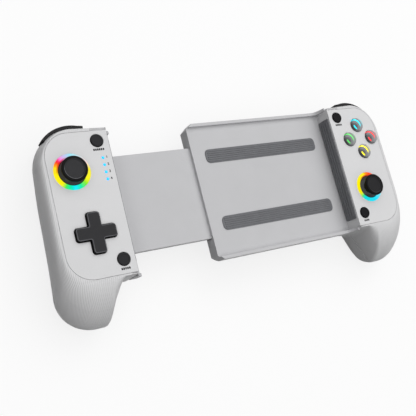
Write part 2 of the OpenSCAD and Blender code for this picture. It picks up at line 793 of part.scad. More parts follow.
module bumper_pin() {
    translate([bumper_pin_at.x, bumper_pin_at.y, bumper_z[0] - 1.5])
        cylinder(r = 1.2, h = bumper_z[1] - bumper_z[0] + 1.3);
}

// Trigger lever, drawn about its pin in Y and Z
module trigger_profile() {
    offset(r = 0.9) offset(delta = -0.9) polygon([[-1.6, 3.4], [3.6, 3.4], [6, -0.5], [7.4, -5], [8.8, -9],
        [9.8, -12.5], [8.2, -14.6], [6, -12.4], [3.6, -9], [1.4, -5.6], [-1, -2.6], [-2.3, 0]]);
}

module trigger() {
    paddle_z = trigger_pin_at.y - 5;
    difference() {
        intersection() {
            along_x(trigger_span[0] - 1.2, trigger_span[1] + 4) translate(trigger_pin_at) trigger_profile();
            union() {
                translate([shoulder_x, 0, -1]) cube([panel_w, half_h + 20, paddle_z + 1]);
                translate([trigger_span[0], 0, -1])
                    cube([trigger_span[1] - trigger_span[0], half_h + 20, face_z]);
            }
            union() {
                translate([shoulder_centre.x - 4, shoulder_centre.y, -1])
                    cylinder(r = shoulder_r + 4.4, h = face_z);
                translate([0, 0, -1]) cube([shoulder_centre.x - 4, half_h + 20, face_z]);
            }
            translate([0, 0, -1]) cube([panel_w, trigger_top, face_z]);
        }
        translate([0, trigger_pin_at.x, trigger_pin_at.y]) rotate([0, 90, 0]) {
            cylinder(r = 1.28, h = panel_w);
            translate([0, 0, 20]) cylinder(r = 2.3, h = 4.6);
            translate([-2.3, -4, 20]) cube([4.6, 4, 4.6]);
        }
    }
}

module trigger_pin() {
    translate([shoulder_x + 0.4, trigger_pin_at.x, trigger_pin_at.y]) rotate([0, 90, 0])
        cylinder(r = 1.2, h = trigger_span[1] + 1.4 - shoulder_x);
}

module trigger_spring() {
    translate([20.3, trigger_pin_at.x, trigger_pin_at.y]) rotate([0, 90, 0]) difference() {
        cylinder(r = 1.9, h = 4);
        translate([0, 0, -1]) cylinder(r = 1.25, h = 6);
    }
}

module left_shoulder_bracket() { color(dark_plastic) left_grip() shoulder_bracket(); }
module right_shoulder_bracket() { color(dark_plastic) right_grip() shoulder_bracket(); }
module left_bumper() { color(dark_plastic) left_grip() bumper(); }
module right_bumper() { color(dark_plastic) right_grip() bumper(); }
module left_bumper_pin() { color(steel) left_grip() bumper_pin(); }
module right_bumper_pin() { color(steel) right_grip() bumper_pin(); }
module left_trigger() { color(dark_plastic) left_grip() trigger(); }
module right_trigger() { color(dark_plastic) right_grip() trigger(); }
module left_trigger_pin() { color(steel) left_grip() trigger_pin(); }
module right_trigger_pin() { color(steel) right_grip() trigger_pin(); }
module left_trigger_spring() { color(steel) left_grip() trigger_spring(); }
module right_trigger_spring() { color(steel) right_grip() trigger_spring(); }

battery_size = [13, 30, 6.5];
module battery() {
    color([0.15, 0.16, 0.2]) right_grip()
        translate([case_screw_places[0].x + 4.8, -30, wall + 0.6]) cube(battery_size);
}

module charge_socket() {
    color(steel) right_grip() translate([socket_at.x, half_h + 2.4, socket_at.y]) rotate([90, 0, 0]) {
        linear_extrude(7) difference() {
            rounded_bar(3.3, 9, 1.6);
            rounded_bar(2.6, 8.3, 1.28);
        }
        translate([0, 0, 6]) linear_extrude(1) rounded_bar(2.8, 8.5, 1.3);
        translate([-0.35, -3, 1.2]) cube([0.7, 6, 5.3]);
    }
}

cradle_tray();
cradle_cover();
tray_pads();
cradle_screws();
slide_springs();
ribbon_cable();
right_front_panel();
right_front_shell();
right_rear_shell();
right_end_pad();
right_light_ring();
right_stick_base();
right_stick_yoke();
right_stick_stem();
right_stick_cap();
right_circuit_board();
right_membrane();
face_button_north();
face_button_east();
face_button_south();
face_button_west();
start_button();
home_button();
right_shoulder_bracket();
right_bumper();
right_bumper_pin();
right_trigger();
right_trigger_pin();
right_trigger_spring();
right_case_screws();
battery();
charge_socket();
slide_plate();
left_front_panel();
left_front_shell();
left_rear_shell();
left_end_pad();
left_light_ring();
left_stick_base();
left_stick_yoke();
left_stick_stem();
left_stick_cap();
left_circuit_board();
left_membrane();
cross_pad();
cross_rocker();
cross_base();
select_button();
turbo_button();
player_lights();
left_shoulder_bracket();
left_bumper();
left_bumper_pin();
left_trigger();
left_trigger_pin();
left_trigger_spring();
left_case_screws();
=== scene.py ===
# %% [markdown]
# # Dressing a stretch controller
# The construction of this handheld controller is already done: its solids arrive as a fixed frame, each on
# the body that carries it. This lesson adds what the eye judges: soft moulded grips, panels with rounded
# edges, rubbed black controls, lit rings and smoky buttons. Nothing of the frame is moved.

# %% Load the frame
import json
import math

import bmesh
import bpy
from mathutils import Matrix, Vector


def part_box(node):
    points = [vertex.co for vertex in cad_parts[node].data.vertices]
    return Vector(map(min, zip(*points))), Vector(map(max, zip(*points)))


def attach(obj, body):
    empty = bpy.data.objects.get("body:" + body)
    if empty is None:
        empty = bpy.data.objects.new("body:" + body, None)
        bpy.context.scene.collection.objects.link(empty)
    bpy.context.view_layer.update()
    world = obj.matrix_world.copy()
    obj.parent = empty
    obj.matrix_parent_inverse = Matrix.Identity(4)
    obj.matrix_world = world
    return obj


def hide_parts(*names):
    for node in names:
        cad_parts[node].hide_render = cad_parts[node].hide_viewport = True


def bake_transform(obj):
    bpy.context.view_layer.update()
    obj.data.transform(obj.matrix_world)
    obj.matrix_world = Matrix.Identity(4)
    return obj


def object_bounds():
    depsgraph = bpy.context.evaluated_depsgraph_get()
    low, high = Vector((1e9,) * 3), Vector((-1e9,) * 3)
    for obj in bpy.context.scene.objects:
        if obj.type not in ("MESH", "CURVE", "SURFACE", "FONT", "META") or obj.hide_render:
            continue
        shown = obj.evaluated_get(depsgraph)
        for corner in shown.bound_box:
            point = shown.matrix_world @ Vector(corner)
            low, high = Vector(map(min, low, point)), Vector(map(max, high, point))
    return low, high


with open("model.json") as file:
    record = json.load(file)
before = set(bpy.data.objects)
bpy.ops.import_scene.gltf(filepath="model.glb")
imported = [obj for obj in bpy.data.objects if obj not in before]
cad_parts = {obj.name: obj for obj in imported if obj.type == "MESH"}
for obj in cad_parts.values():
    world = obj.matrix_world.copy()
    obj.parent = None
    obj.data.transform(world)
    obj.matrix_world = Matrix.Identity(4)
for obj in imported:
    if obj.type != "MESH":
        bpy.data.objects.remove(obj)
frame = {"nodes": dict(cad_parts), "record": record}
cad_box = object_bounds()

nodes = frame["nodes"]

# %% [markdown]
# ## Where things are
# The pieces below are drawn in millimetres on one grip: x runs outwards from its end wall, y up the face from
# its middle and z up from the table. The two grips mirror each other, so one set of measures does for both.
# They are read off the frame, and a piece drawn with them lands on its solid.

# %% Measures of one grip, in millimetres
MM = 0.001
METRE = 1000.0
panel_low, panel_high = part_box("right_front_panel")
END_WALL = panel_low.x / MM
FACE_Y = (panel_low.y + panel_high.y) / 2 / MM
FACE_Z = panel_high.z / MM
PANEL_W = (panel_high.x - panel_low.x) / MM
HALF_H = (panel_high.y - panel_low.y) / 2 / MM
RIGHT, LEFT = 1, -1
SIDES = ((RIGHT, "right"), (LEFT, "left"))


def at(node):
    """Middle of a solid on its grip, with the height of its top."""
    low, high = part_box(node)
    middle = (low + high) / 2 / MM
    return Vector((abs(middle.x) - END_WALL, middle.y - FACE_Y, high.z / MM))


print("face", round(FACE_Z, 2), "mm up, panel", round(PANEL_W, 2), "by", round(2 * HALF_H, 2), "mm")

# %% [markdown]
# ## From a bmesh to a finished piece
# Every new piece ends the same way: its bmesh goes to its place, its faces turn outwards, it is shaded smooth
# up to a crease angle, and it rides on a body if it is given one. The place is put into the
# mesh, and the object stays at the origin. A weighted normal keeps big flat faces flat beside small rounds.

# %% Finish a piece
CREASE = math.radians(38)
SAME_SPOT = 0.002


def move(bm, matrix):
    bmesh.ops.transform(bm, matrix=matrix, verts=bm.verts)


def to_mesh(bm, name):
    """Puts a bmesh into a mesh and frees it."""
    mesh = bpy.data.meshes.new(name)
    bm.to_mesh(mesh)
    bm.free()
    return mesh


def put_in_scene(name, data):
    made = bpy.data.objects.new(name, data)
    bpy.context.scene.collection.objects.link(made)
    return made


def finish_piece(bm, name, body, material, replaced, side):
    bmesh.ops.remove_doubles(bm, verts=bm.verts, dist=SAME_SPOT)
    move(bm, Matrix.Diagonal((side * MM, MM, MM, 1)) @ Matrix.Translation((END_WALL, FACE_Y, 0)))
    bmesh.ops.recalc_face_normals(bm, faces=bm.faces)
    open_edges = sum(not edge.is_manifold for edge in bm.edges)
    mesh = to_mesh(bm, name)
    mesh.shade_smooth()
    mesh.set_sharp_from_angle(angle=CREASE)
    mesh.materials.append(material)
    piece = put_in_scene(name, mesh)
    piece.modifiers.new("Even shading", "WEIGHTED_NORMAL").keep_sharp = True
    if body:
        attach(piece, body)
    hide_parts(*replaced)
    print(name, "has", len(mesh.polygons), "faces and", open_edges, "open edges")
    return piece


# %% [markdown]
# ## Outlines with rounded corners
# Moulded parts are drawn as outlines whose corners are rounded. An outline here is a list of corners, each
# with its radius, and one function runs round it. Moving its sides in or out before rounding gives the next
# line of a bevel, so a bevel stays even all the way round.

# %% Outline tools
LEAST_R, SHARP_R = 0.3, 0.02
NO_TURN = 0.02


def moved_in(corners, distance):
    """The outline, clockwise, with every side moved inwards; a negative distance moves it outwards."""
    made = []
    for before, (x, y, radius), after in zip(corners[-1:] + corners, corners, corners[1:] + corners[:1]):
        here = Vector((x, y))
        coming = (here - Vector(before[:2])).normalized()
        going = (Vector(after[:2]) - here).normalized()
        inward = Vector((coming.y, -coming.x)) + Vector((going.y, -going.x))
        corner = here + inward * distance / (1 + coming.dot(going))
        growth = -distance if coming.cross(going) < 0 else distance
        made.append((corner.x, corner.y, max(radius + growth, LEAST_R if radius > LEAST_R else SHARP_R)))
    return made


def arc_points(before, corner, after, radius, cuts):
    """Points along one rounded corner; a corner with no turn gives points along its line."""
    back = (before - corner).normalized()
    ahead = (after - corner).normalized()
    if radius == 0:
        return [corner]
    if (back + ahead).length < NO_TURN:
        return [corner + back * radius * (1 - i / cuts) + ahead * radius * i / cuts for i in range(cuts + 1)]
    half = back.angle(ahead) / 2
    reach = radius / math.tan(half)
    centre = corner + (back + ahead).normalized() * radius / math.sin(half)
    first = corner + back * reach - centre
    turn = first.angle_signed(corner + ahead * reach - centre)
    return [centre + Matrix.Rotation(-turn * i / cuts, 2) @ first for i in range(cuts + 1)]


def rounded(corners, cuts, shares=None):
    """Points round an outline: so many cuts to every corner, or to each its own, and shares of the sides."""
    cuts = [cuts] * len(corners) if isinstance(cuts, int) else cuts
    places = [Vector(corner[:2]) for corner in corners]
    arcs = [arc_points(places[i - 1], places[i], places[(i + 1) % len(places)], corner[2], cuts[i])
            for i, corner in enumerate(corners)]
    points = []
    for arc, following, along in zip(arcs, arcs[1:] + arcs[:1], shares or [()] * len(arcs)):
        points += arc + [arc[-1].lerp(following[0], share) for share in along]
    return points


def bar_outline(x, y, half_x, half_y, radius):
    spread = ((-1, 1), (1, 1), (1, -1), (-1, -1))
    return [(x + i * half_x, y + j * half_y, radius) for i, j in spread]


def circle_outline(x, y, radius):
    return bar_outline(x, y, radius, radius, radius)


print("outline of a test circle has", len(rounded(circle_outline(0, 0, 1), 8)), "points")

# %% [markdown]
# A loop of edges laid on such a line of points is extruded from line to line, and closed with a face where
# the shape ends.

# %% Loop tools


def at_height(points, z):
    return [Vector((p.x, p.y, z)) for p in points]


def start_loop(bm, points):
    loop = [bm.verts.new(p) for p in points]
    for a, b in zip(loop, loop[1:] + loop[:1]):
        bm.edges.new((a, b))
    return loop


def loop_edges(bm, loop):
    return [bm.edges.get(pair) for pair in zip(loop, loop[1:] + loop[:1])]


def run_on(bm, loop, points):
    """Extrudes a loop of edges once and puts the new loop on the points."""
    grown = bmesh.ops.extrude_edge_only(bm, edges=loop_edges(bm, loop))["geom"]
    fresh = {v for v in grown if isinstance(v, bmesh.types.BMVert)}
    following = [next(e.other_vert(v) for e in v.link_edges if e.other_vert(v) in fresh) for v in loop]
    for vert, point in zip(following, points):
        vert.co = point
    return following


def cap(bm, loop):
    return bmesh.ops.contextual_create(bm, geom=loop_edges(bm, loop))["faces"]


print("loops can be started, run on and capped")

# %% [markdown]
# ## Shader maths as plain expressions
# A finish is a small network of nodes. Writing it as arithmetic keeps it readable: a Wire wraps one socket,
# and adding or multiplying wires adds the Math nodes. One method makes every other node: it takes the node's
# type, its settings and what goes into its sockets. Three numbers stand for a colour as a picture shows it.

# %% Wires


def method(operation):
    """A method that adds one Math node."""
    return lambda wire, *others: wire.maths(operation, wire, *others)


class Wire:
    """A value that changes over a surface."""

    def __init__(self, network, socket):
        self.network = network
        self.socket = socket

    def maths(self, operation, *values):
        return self.network.node("ShaderNodeMath", {"operation": operation}, dict(enumerate(values)))

    __add__ = __radd__ = method("ADD")
    __mul__ = __rmul__ = method("MULTIPLY")
    __sub__ = method("SUBTRACT")
    __pow__ = method("POWER")
    __abs__ = method("ABSOLUTE")
    sine = method("SINE")
    fraction = method("FRACT")
    angle_to = method("ARCTAN2")
    at_least = method("MAXIMUM")
    at_most = method("MINIMUM")

    def __rsub__(self, other):
        return self.maths("SUBTRACT", other, self)

    def step(self, low, high):
        """0 below low, 1 above high and an even rise between; low above high turns it round."""
        limits = {0: self, 1: low, 2: high, 3: 0.0, 4: 1.0}
        if low > high:
            limits.update({1: high, 2: low, 3: 1.0, 4: 0.0})
        return self.network.node("ShaderNodeMapRange", {"interpolation_type": "SMOOTHSTEP"}, limits)


def picture_colour(red, green, blue):
    """A colour written as it looks in a picture, 0 to 255, for a socket."""
    linear = [((v / 255 + 0.055) / 1.055) ** 2.4 if v > 10 else v / 3294 for v in (red, green, blue)]
    return (*linear, 1.0)


def shaded(tone, share):
    return tuple(v * share for v in tone)


print("wires add, subtract, multiply and step")

# %% Networks and finishes


class Network:
    """A tree of shader nodes."""

    def __init__(self, tree):
        self.tree = tree

    def node(self, kind, settings=None, inputs=None, output=0):
        made = self.tree.nodes.new(kind)
        for key, value in (settings or {}).items():
            if key == "stops":
                self.set_stops(made.color_ramp, value)
            else:
                setattr(made, key, value)
        for key, value in (inputs or {}).items():
            self.feed(made, key, value)
        return Wire(self, made.outputs[output])

    def set_stops(self, ramp, stops):
        while len(ramp.elements) < len(stops):
            ramp.elements.new(0.5)
        for element, (position, *colour) in zip(ramp.elements, stops):
            element.position = position
            element.color = picture_colour(*colour)

    def feed(self, made, key, value):
        if isinstance(value, Wire):
            self.tree.links.new(value.socket, made.inputs[key])
        else:
            is_picture = isinstance(value, tuple) and len(value) == 3
            made.inputs[key].default_value = picture_colour(*value) if is_picture else value


class Finish(Network):
    """A material being made: its shader, its Object coordinates and the nodes added to them."""

    def __init__(self, name, **constants):
        self.material = bpy.data.materials.new(name)
        self.material.use_nodes = True
        super().__init__(self.material.node_tree)
        self.shader = self.tree.nodes["Principled BSDF"]
        self.place = self.node("ShaderNodeTexCoord", output="Object")
        for label, value in constants.items():
            self.drive(label.replace("_", " ").title().replace("Ior", "IOR"), value)

    def drive(self, key, value):
        self.feed(self.shader, key, value)

    def axes(self):
        """X, Y and Z of the surface, in millimetres."""
        split = self.node("ShaderNodeSeparateXYZ", None, {0: self.place})
        return [Wire(self, output) * METRE for output in split.socket.node.outputs]

    def about(self, centre):
        """Distances across and along from a centre, in millimetres."""
        x, y, _ = self.axes()
        return x - centre.x, y - centre.y

    def noise(self, size, detail=2.0):
        """Cloudy variation round 0.5 whose lumps are about size millimetres."""
        inputs = {"Vector": self.place, "Scale": METRE / size, "Detail": detail}
        return self.node("ShaderNodeTexNoise", None, inputs)

    def blend(self, share, a, b):
        return self.node("ShaderNodeMix", {"data_type": "RGBA"}, {0: share, 6: a, 7: b}, output=2)

    def dress(self, colour, roughness, height=None, depth=0.0):
        """The material, its surface raised by depth millimetres where height goes from 0 to 1."""
        self.drive("Base Color", colour)
        self.drive("Roughness", roughness)
        if height:
            relief = {"Strength": 1.0, "Distance": depth * MM, "Height": height}
            self.drive("Normal", self.node("ShaderNodeBump", None, relief))
        return self.material


print("finishes are ready to be written")

# %% [markdown]
# ## Light grey moulded plastic
# The grips and panels are one satin light grey plastic. Up close such a moulding has a spark-eroded grain, a
# faint unevenness of tone and slightly patchy gloss, which noise at three sizes gives. The grips also carry
# fine ribs that follow the handle: lines of equal distance from the handle's middle line, counted along the
# surface as it turns down the sides. Painted shade darkens each rib's crest and painted light brightens the
# furrow between.

# %% Satin plastic
RIB_PITCH = 1.15
HANDLE_TOP_Y = -HALF_H - 2
HANDLE_LENGTH = 23.0
HANDLE_DROP = 20.5
HANDLE_ROUNDNESS = 1.55
HANDLE_MIDDLE, LEAN_BELOW, LEAN_ABOVE = 25.5, 0.31, 0.05
DARKER = 0.93


def satin_plastic(name, tone, ribbed=False):
    finish = Finish(name, specular_ior_level=0.2)
    pale = picture_colour(*tone)
    cloud = finish.noise(14)
    speck = finish.noise(0.35, 1.0)
    shade = (cloud - 0.5) * 0.9 + (speck - 0.5) * 0.5 + 0.5
    height = speck * 0.25
    if ribbed:
        x, y, z = finish.axes()
        out = abs(x) - END_WALL
        below = FACE_Y + HANDLE_TOP_Y - y
        middle_line = below.at_least(0.0) * LEAN_BELOW + below.at_most(0.0) * LEAN_ABOVE + HANDLE_MIDDLE
        share = (below * (1 / HANDLE_LENGTH)).at_least(0.0).at_most(1.0)
        fall = (1.0 - share ** HANDLE_ROUNDNESS) ** (1 / HANDLE_ROUNDNESS)
        crest = fall * HANDLE_DROP + (FACE_Z - HANDLE_DROP)
        along = abs(out - middle_line) + crest - z
        rib = (along * (2 * math.pi / RIB_PITCH)).sine() * 0.5 + 0.5
        ribs_here = out.step(3.5, 7.0)
        height = height + rib * ribs_here * 1.6
        # Painted shade and light: each rib's crest is coloured darker and the furrow between paler.
        shade = shade - (rib - 0.5) * ribs_here * 0.35
    colour = finish.blend(shade, (*shaded(pale[:3], DARKER), 1.0), pale)
    return finish.dress(colour, finish.noise(6) * 0.14 + 0.38, height, 0.05)


shell_plastic = satin_plastic("ribbed grip plastic", (213, 213, 214), ribbed=True)
panel_plastic = satin_plastic("panel plastic", (217, 217, 218))
cradle_plastic = satin_plastic("cradle plastic", (196, 196, 198))
print("three satin plastics made")

# %% [markdown]
# ## The grip housings
# A grip is a loft. From its widest outline the sides draw in along a curve, forwards to the smaller outline
# that frames the panel and backwards to one on the flat of the back. Extruding one loop of edges from ring to
# ring builds the outside, the lip round the panel and the hollow inside in a single closed skin.

# %% Outlines of a grip
PART_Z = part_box("right_front_shell")[0].z / MM
HORN_Y = FACE_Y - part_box("right_front_shell")[0].y / MM
WALL = 1.8
PANEL_T = 2.0
PANEL_R = 14.5
SEAM = 0.16
SEAT_W = 1.2

grip_wide = [(0, HALF_H + 2.5, 1.5), (PANEL_W + 4.4, HALF_H + 4.5, 21), (PANEL_W + 5.8, -HORN_Y, 20),
             (17, -HORN_Y, 3.5), (8.2, -HALF_H - 2.4, 4), (0, -HALF_H - 2.4, 1.5)]
grip_front = [(0, HALF_H + 1.4, 1), (PANEL_W + 1.1, HALF_H + 2.7, 18.5), (PANEL_W + 1.1, -HALF_H - 2, 16),
              (14, -HALF_H - 2, 5), (8, -HALF_H - 1.2, 4), (0, -HALF_H - 1.2, 1)]
grip_back = [(5, HALF_H - 5.5, 3), (PANEL_W - 6, HALF_H - 5.5, 10), (PANEL_W, -HORN_Y + 15.5, 10),
             (18.5, -HORN_Y + 15.5, 6), (11.4, -HALF_H + 6.5, 3.5), (5, -HALF_H + 6.5, 2)]


def seat_outline(x, reach, half, end_radius, radius):
    """An outline of the panel's seat, open to the end wall."""
    return [(x, half, end_radius), (reach, half, radius), (reach, -half, radius), (16, -half, 3),
            (8, -half, 2), (x, -half, end_radius)]


panel_opening = seat_outline(SEAT_W, PANEL_W + SEAM, HALF_H + SEAM, SHARP_R, PANEL_R + SEAM)
panel_ledge = seat_outline(WALL, PANEL_W - 0.4, HALF_H - SEAT_W, 0.4, PANEL_R - SEAT_W)
print("outlines of", len(grip_wide), "corners drawn")

# %% [markdown]
# Each outline is walked once, with the same number of points on every arc and side, so that any two of them
# can be blended point by point. The points on the top side stand at the same x on every outline, because the
# shoulder recess begins among them. Points that would stand in the recess, where the bumper sits, are held
# back to its wall.

# %% Walk the grip's outlines
SHOULDER = Vector((14.0, HALF_H - 4.5, FACE_Z - 3.2))
SHOULDER_LEAN, LEAN_FROM = 0.35, 34
TAIL = Vector((11.4, HALF_H + 1.1))
BACK_WALL = 1.2


def evenly(count):
    return [i / count for i in range(1, count)]


GRIP_ARCS = (4, 24, 26, 14, 10, 4)
END_SIDE = [0.0012, 0.0075, 0.009, 0.25, 0.5, 0.75, 0.991, 0.9925, 0.9988]
GRIP_SIDES = [evenly(12), evenly(4), evenly(8), evenly(2), END_SIDE]
recess_edges = (TAIL.x - WALL, TAIL.x, SHOULDER.x - WALL, SHOULDER.x)
top_marks = [x + d for x in recess_edges for d in (-0.1, 0.1)] + [18]


def walk(corners):
    ends = rounded(corners, GRIP_ARCS)
    first, last = ends[GRIP_ARCS[0]].x, ends[GRIP_ARCS[0] + 1].x
    top = [(x - first) / (last - first) for x in top_marks]
    return rounded(corners, GRIP_ARCS, [top] + GRIP_SIDES)


wide, front, back = walk(grip_wide), walk(grip_front), walk(grip_back)
opening, ledge = walk(panel_opening), walk(panel_ledge)
wide_inside, back_inside = walk(moved_in(grip_wide, WALL)), walk(moved_in(grip_back, BACK_WALL))


def held_back(points, wall):
    """The points with those inside the shoulder recess put back to its wall."""
    kept = []
    for p, mark in zip(points, wide):
        limit = p.y
        if mark.y > 0 and mark.x > TAIL.x - wall:
            limit = TAIL.y - wall
        if mark.y > 0 and mark.x > SHOULDER.x - wall:
            limit = SHOULDER.y - wall + SHOULDER_LEAN * max(0, mark.x - LEAN_FROM)
        kept.append(Vector((p.x, min(p.y, limit))))
    return kept


print("a grip ring has", len(wide), "points")

# %% [markdown]
# The widest line of the skin is not level: it runs high beside the panel and drops towards the handle's tip
# and the end wall. The sides are fuller beside the panel too. The back is flat under the palm and climbs
# towards the triggers. A ring is a line of points on the way from one outline to another.

# %% The widest line and the rings
GRIP_ROUNDNESS = 1.55
SIDE_ROUNDNESS = 2.1
UNDER_ROUNDNESS = 2
WIDEST_Z = FACE_Z - 9.5
TIP_Z = PART_Z + 1.5
BACK_CLIMB = 12


def bulge(share, roundness):
    return 1 - max(0.0, 1 - share ** roundness) ** (1 / roundness)


def ramp(value, start, end):
    """Rises smoothly from 0 at start to 1 at end."""
    t = min(max((value - start) / (end - start), 0), 1)
    return t * t * (3 - 2 * t)


def back_z(y):
    return BACK_CLIMB * ramp(y, 5, 40)


beside = [ramp(p.x, 28, 36) * ramp(p.y, -52, -28) * ramp(p.y, 34, 22) for p in wide]
fullness = [GRIP_ROUNDNESS + (SIDE_ROUNDNESS - GRIP_ROUNDNESS) * share for share in beside]
under = [UNDER_ROUNDNESS + ramp(p.x, 19, 13) * ramp(p.x, 3, 7) * ramp(p.y, -42, -47) for p in wide]
highest = [ramp(p.y, 4.5 - HORN_Y, 41.5 - HORN_Y) * ramp(p.x, 2, 12) for p in wide]
line = [TIP_Z + (WIDEST_Z - TIP_Z) * share for share in highest]


def ring_at(outer, inner, shares, roundness, end_z, wall, recessed=True):
    """Points between two outlines, each at its own share of the way from the widest line to the end."""
    flat = [p.lerp(q, bulge(s, r)) for p, q, s, r in zip(outer, inner, shares, roundness)]
    if recessed:
        flat = held_back(flat, wall)
    return [Vector((p.x, p.y, z + (end_z(p) - z) * s)) for p, z, s in zip(flat, line, shares)]


print("widest line from", round(min(line), 1), "to", round(max(line), 1), "mm up")

# %% [markdown]
# The parting plane between the halves is level, so every point passes it at a share of its own on the way to
# the back. A few rounds of trial find these shares.

# %% The skin from the widest line to the back
TRIALS = 9


def towards_back(outer, inner, shares, wall):
    return ring_at(outer, inner, shares, under, lambda p: back_z(p.y) + wall, wall)


def parting(outer, inner, wall):
    shares = [0.4] * len(line)
    for _ in range(TRIALS):
        points = towards_back(outer, inner, shares, wall)
        shares = [(high - PART_Z) / (high - back_z(p.y) - wall) for p, high in zip(points, line)]
    return outer, inner, shares, wall


outer_skin, inner_skin = parting(wide, back, 0), parting(wide_inside, back_inside, WALL)


def skin_ring(skin, t):
    """A ring of a skin: t is 0 at the parting plane, 1 at the back and -1 at the widest line."""
    outer, inner, shares, wall = skin
    points = towards_back(outer, inner, [s * (1 + t) if t < 0 else s + (1 - s) * t for s in shares], wall)
    return at_height(points, PART_Z) if t == 0 else points


def groove_ring(height):
    """The ring of the outer skin that stands so far above the parting plane."""
    outer, inner, shares, wall = outer_skin
    lifted = [s * (1 - height / (high - PART_Z)) for s, high in zip(shares, line)]
    return towards_back(outer, inner, lifted, wall)


print("the parting plane is passed at", round(min(outer_skin[2]), 2), "to", round(max(outer_skin[2]), 2))

# %% [markdown]
# The rings of the front half run from the parting plane up to the face, over the lip, down the panel's seat
# and back through the hollow. Rings lie closer together towards the face, where the side turns fastest. A
# narrow step at the parting plane leaves the fine shadow line that two moulded halves show.

# %% Front halves
LIP = 0.08
GROOVE_HIGH, GROOVE_DEEP = 0.5, 0.2
SHELF = (SHOULDER.z - WIDEST_Z) / (FACE_Z - WIDEST_Z)
SEAT_Z = FACE_Z - PANEL_T - 0.1
HOLLOW_Z = FACE_Z - PANEL_T - 2.4


def top_of(p):
    return FACE_Z - PANEL_T if p.x < 1.5 and abs(p.y) < HALF_H + 0.2 else FACE_Z


def front_ring(share):
    return ring_at(wide, front, [share] * len(line), fullness, top_of, 0, recessed=share <= SHELF)


def hollow_ring(share):
    return ring_at(wide_inside, ledge, [share] * len(line), fullness, lambda p: HOLLOW_Z, WALL)


def quarter_turn(count):
    return [math.sin(math.pi / 2 * i / count) for i in range(count + 1)]


def grip_front_half():
    shares = [t ** (2 / GRIP_ROUNDNESS) for t in quarter_turn(18)]
    shares = sorted([s for s in shares if abs(s - SHELF) > 0.03] + [SHELF, SHELF + 0.004])
    edge = walk(moved_in(panel_opening, -LIP))
    rings = [groove_ring(GROOVE_HIGH)] + [skin_ring(outer_skin, t) for t in (-0.45, -0.7, -0.85)]
    rings += [front_ring(s) for s in shares]
    rings.append([Vector((p.x, p.y, top_of(q))) for p, q in zip(edge, opening)])
    rings.append([Vector((p.x, p.y, top_of(p) - LIP)) for p in opening])
    rings += [at_height(opening, SEAT_Z), at_height(held_back(ledge, WALL), SEAT_Z)]
    rings += [hollow_ring(s) for s in (1, 0.85, 0.6, 0.3, 0)] + [skin_ring(inner_skin, t) for t in (-0.5, 0)]
    rim = zip(skin_ring(outer_skin, 0), skin_ring(inner_skin, 0))
    first = [p.lerp(q, GROOVE_DEEP) for p, q in rim]
    bm = bmesh.new()
    loop = start_loop(bm, first)
    for ring in rings + [first]:
        loop = run_on(bm, loop, ring)
    return bm


print("the shoulder's shelf lies at", round(SHELF, 2), "of the way up the side")

# %% [markdown]
# The rear halves carry the same skin on from the parting plane, and a few more rings close it over the middle
# of the back. The three screw holes and the posts that the screws run up in are cut and joined with Booleans.

# %% Booleans on a bmesh


def cylinder(x, y, low, high, radius, steps=48):
    bm = bmesh.new()
    bmesh.ops.create_cone(bm, cap_ends=True, segments=steps, radius1=radius, radius2=radius, depth=high - low,
                          matrix=Matrix.Translation((x, y, (low + high) / 2)))
    return bm


def combine(bm, operation, tool):
    """The bmesh with a tool cut from it or joined to it."""
    pair = []
    for part in (bm, tool):
        bmesh.ops.remove_doubles(part, verts=part.verts, dist=SAME_SPOT)
        bmesh.ops.recalc_face_normals(part, faces=part.faces)
        pair.append(put_in_scene("part", to_mesh(part, "part")))
    boolean = pair[0].modifiers.new("Combine", "BOOLEAN")
    boolean.operation = operation
    boolean.solver = "MANIFOLD"
    boolean.object = pair[1]
    made = bmesh.new()
    made.from_object(pair[0], bpy.context.evaluated_depsgraph_get())
    for part in pair:
        bpy.data.objects.remove(part)
    return made


print("bmeshes can be joined and cut")

# %% Rear halves
BACK_HEART = Vector((23, -8))
CASE_SCREWS = [(12, -27), (PANEL_W - 7, -40), (PANEL_W - 16, 20)]
POST_R, HEAD_R, HEAD_DEEP, SHANK_R = 3.6, 2.3, 3.2, 1.1


def back_cap(points, share, lift):
    flat = [BACK_HEART.lerp(p, share) for p in points]
    return [Vector((p.x, p.y, back_z(p.y) + lift)) for p in flat]


def skin_to_middle(skin):
    rings = [skin_ring(skin, t) for t in quarter_turn(12)]
    return rings + [back_cap(skin[1], share, skin[3]) for share in (0.8, 0.6, 0.4, 0.2)]


def grip_rear_half():
    bm = bmesh.new()
    outside = skin_to_middle(outer_skin)
    rim = start_loop(bm, outside[0])
    for rings in (outside[1:], skin_to_middle(inner_skin)):
        loop = rim
        for ring in rings:
            loop = run_on(bm, loop, ring)
        cap(bm, loop)
    for x, y in CASE_SCREWS:
        bm = combine(bm, "UNION", cylinder(x, y, back_z(y) + 0.9, PART_Z - 0.3, POST_R))
    for x, y in CASE_SCREWS:
        bm = combine(bm, "DIFFERENCE", cylinder(x, y, -1, back_z(y) + HEAD_DEEP, HEAD_R))
        bm = combine(bm, "DIFFERENCE", cylinder(x, y, 1, PART_Z + 2, SHANK_R))
    return bm


print(len(CASE_SCREWS), "screws hold each grip")

# %% [markdown]
# Now both halves of both grips are made, the right front half with the opening for the charging socket.

# %% Make the grips
SOCKET_ROOM = 0.15
LAID_BACK = Matrix.Rotation(math.pi / 2, 4, "X")


def socket_cutter():
    low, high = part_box("charge_socket")
    spot = at("charge_socket")
    half_x = (high.x - low.x) / 2 / MM + SOCKET_ROOM
    half_z = (high.z - low.z) / 2 / MM + SOCKET_ROOM
    mouth = rounded(bar_outline(0, 0, half_x, half_z, half_x - 0.05), 10)
    bm = bmesh.new()
    loop = start_loop(bm, at_height(mouth, -4))
    cap(bm, loop)
    cap(bm, run_on(bm, loop, at_height(mouth, 4)))
    move(bm, Matrix.Translation((spot.x, HALF_H + 2, spot.z - half_z + SOCKET_ROOM)) @ LAID_BACK)
    return bm


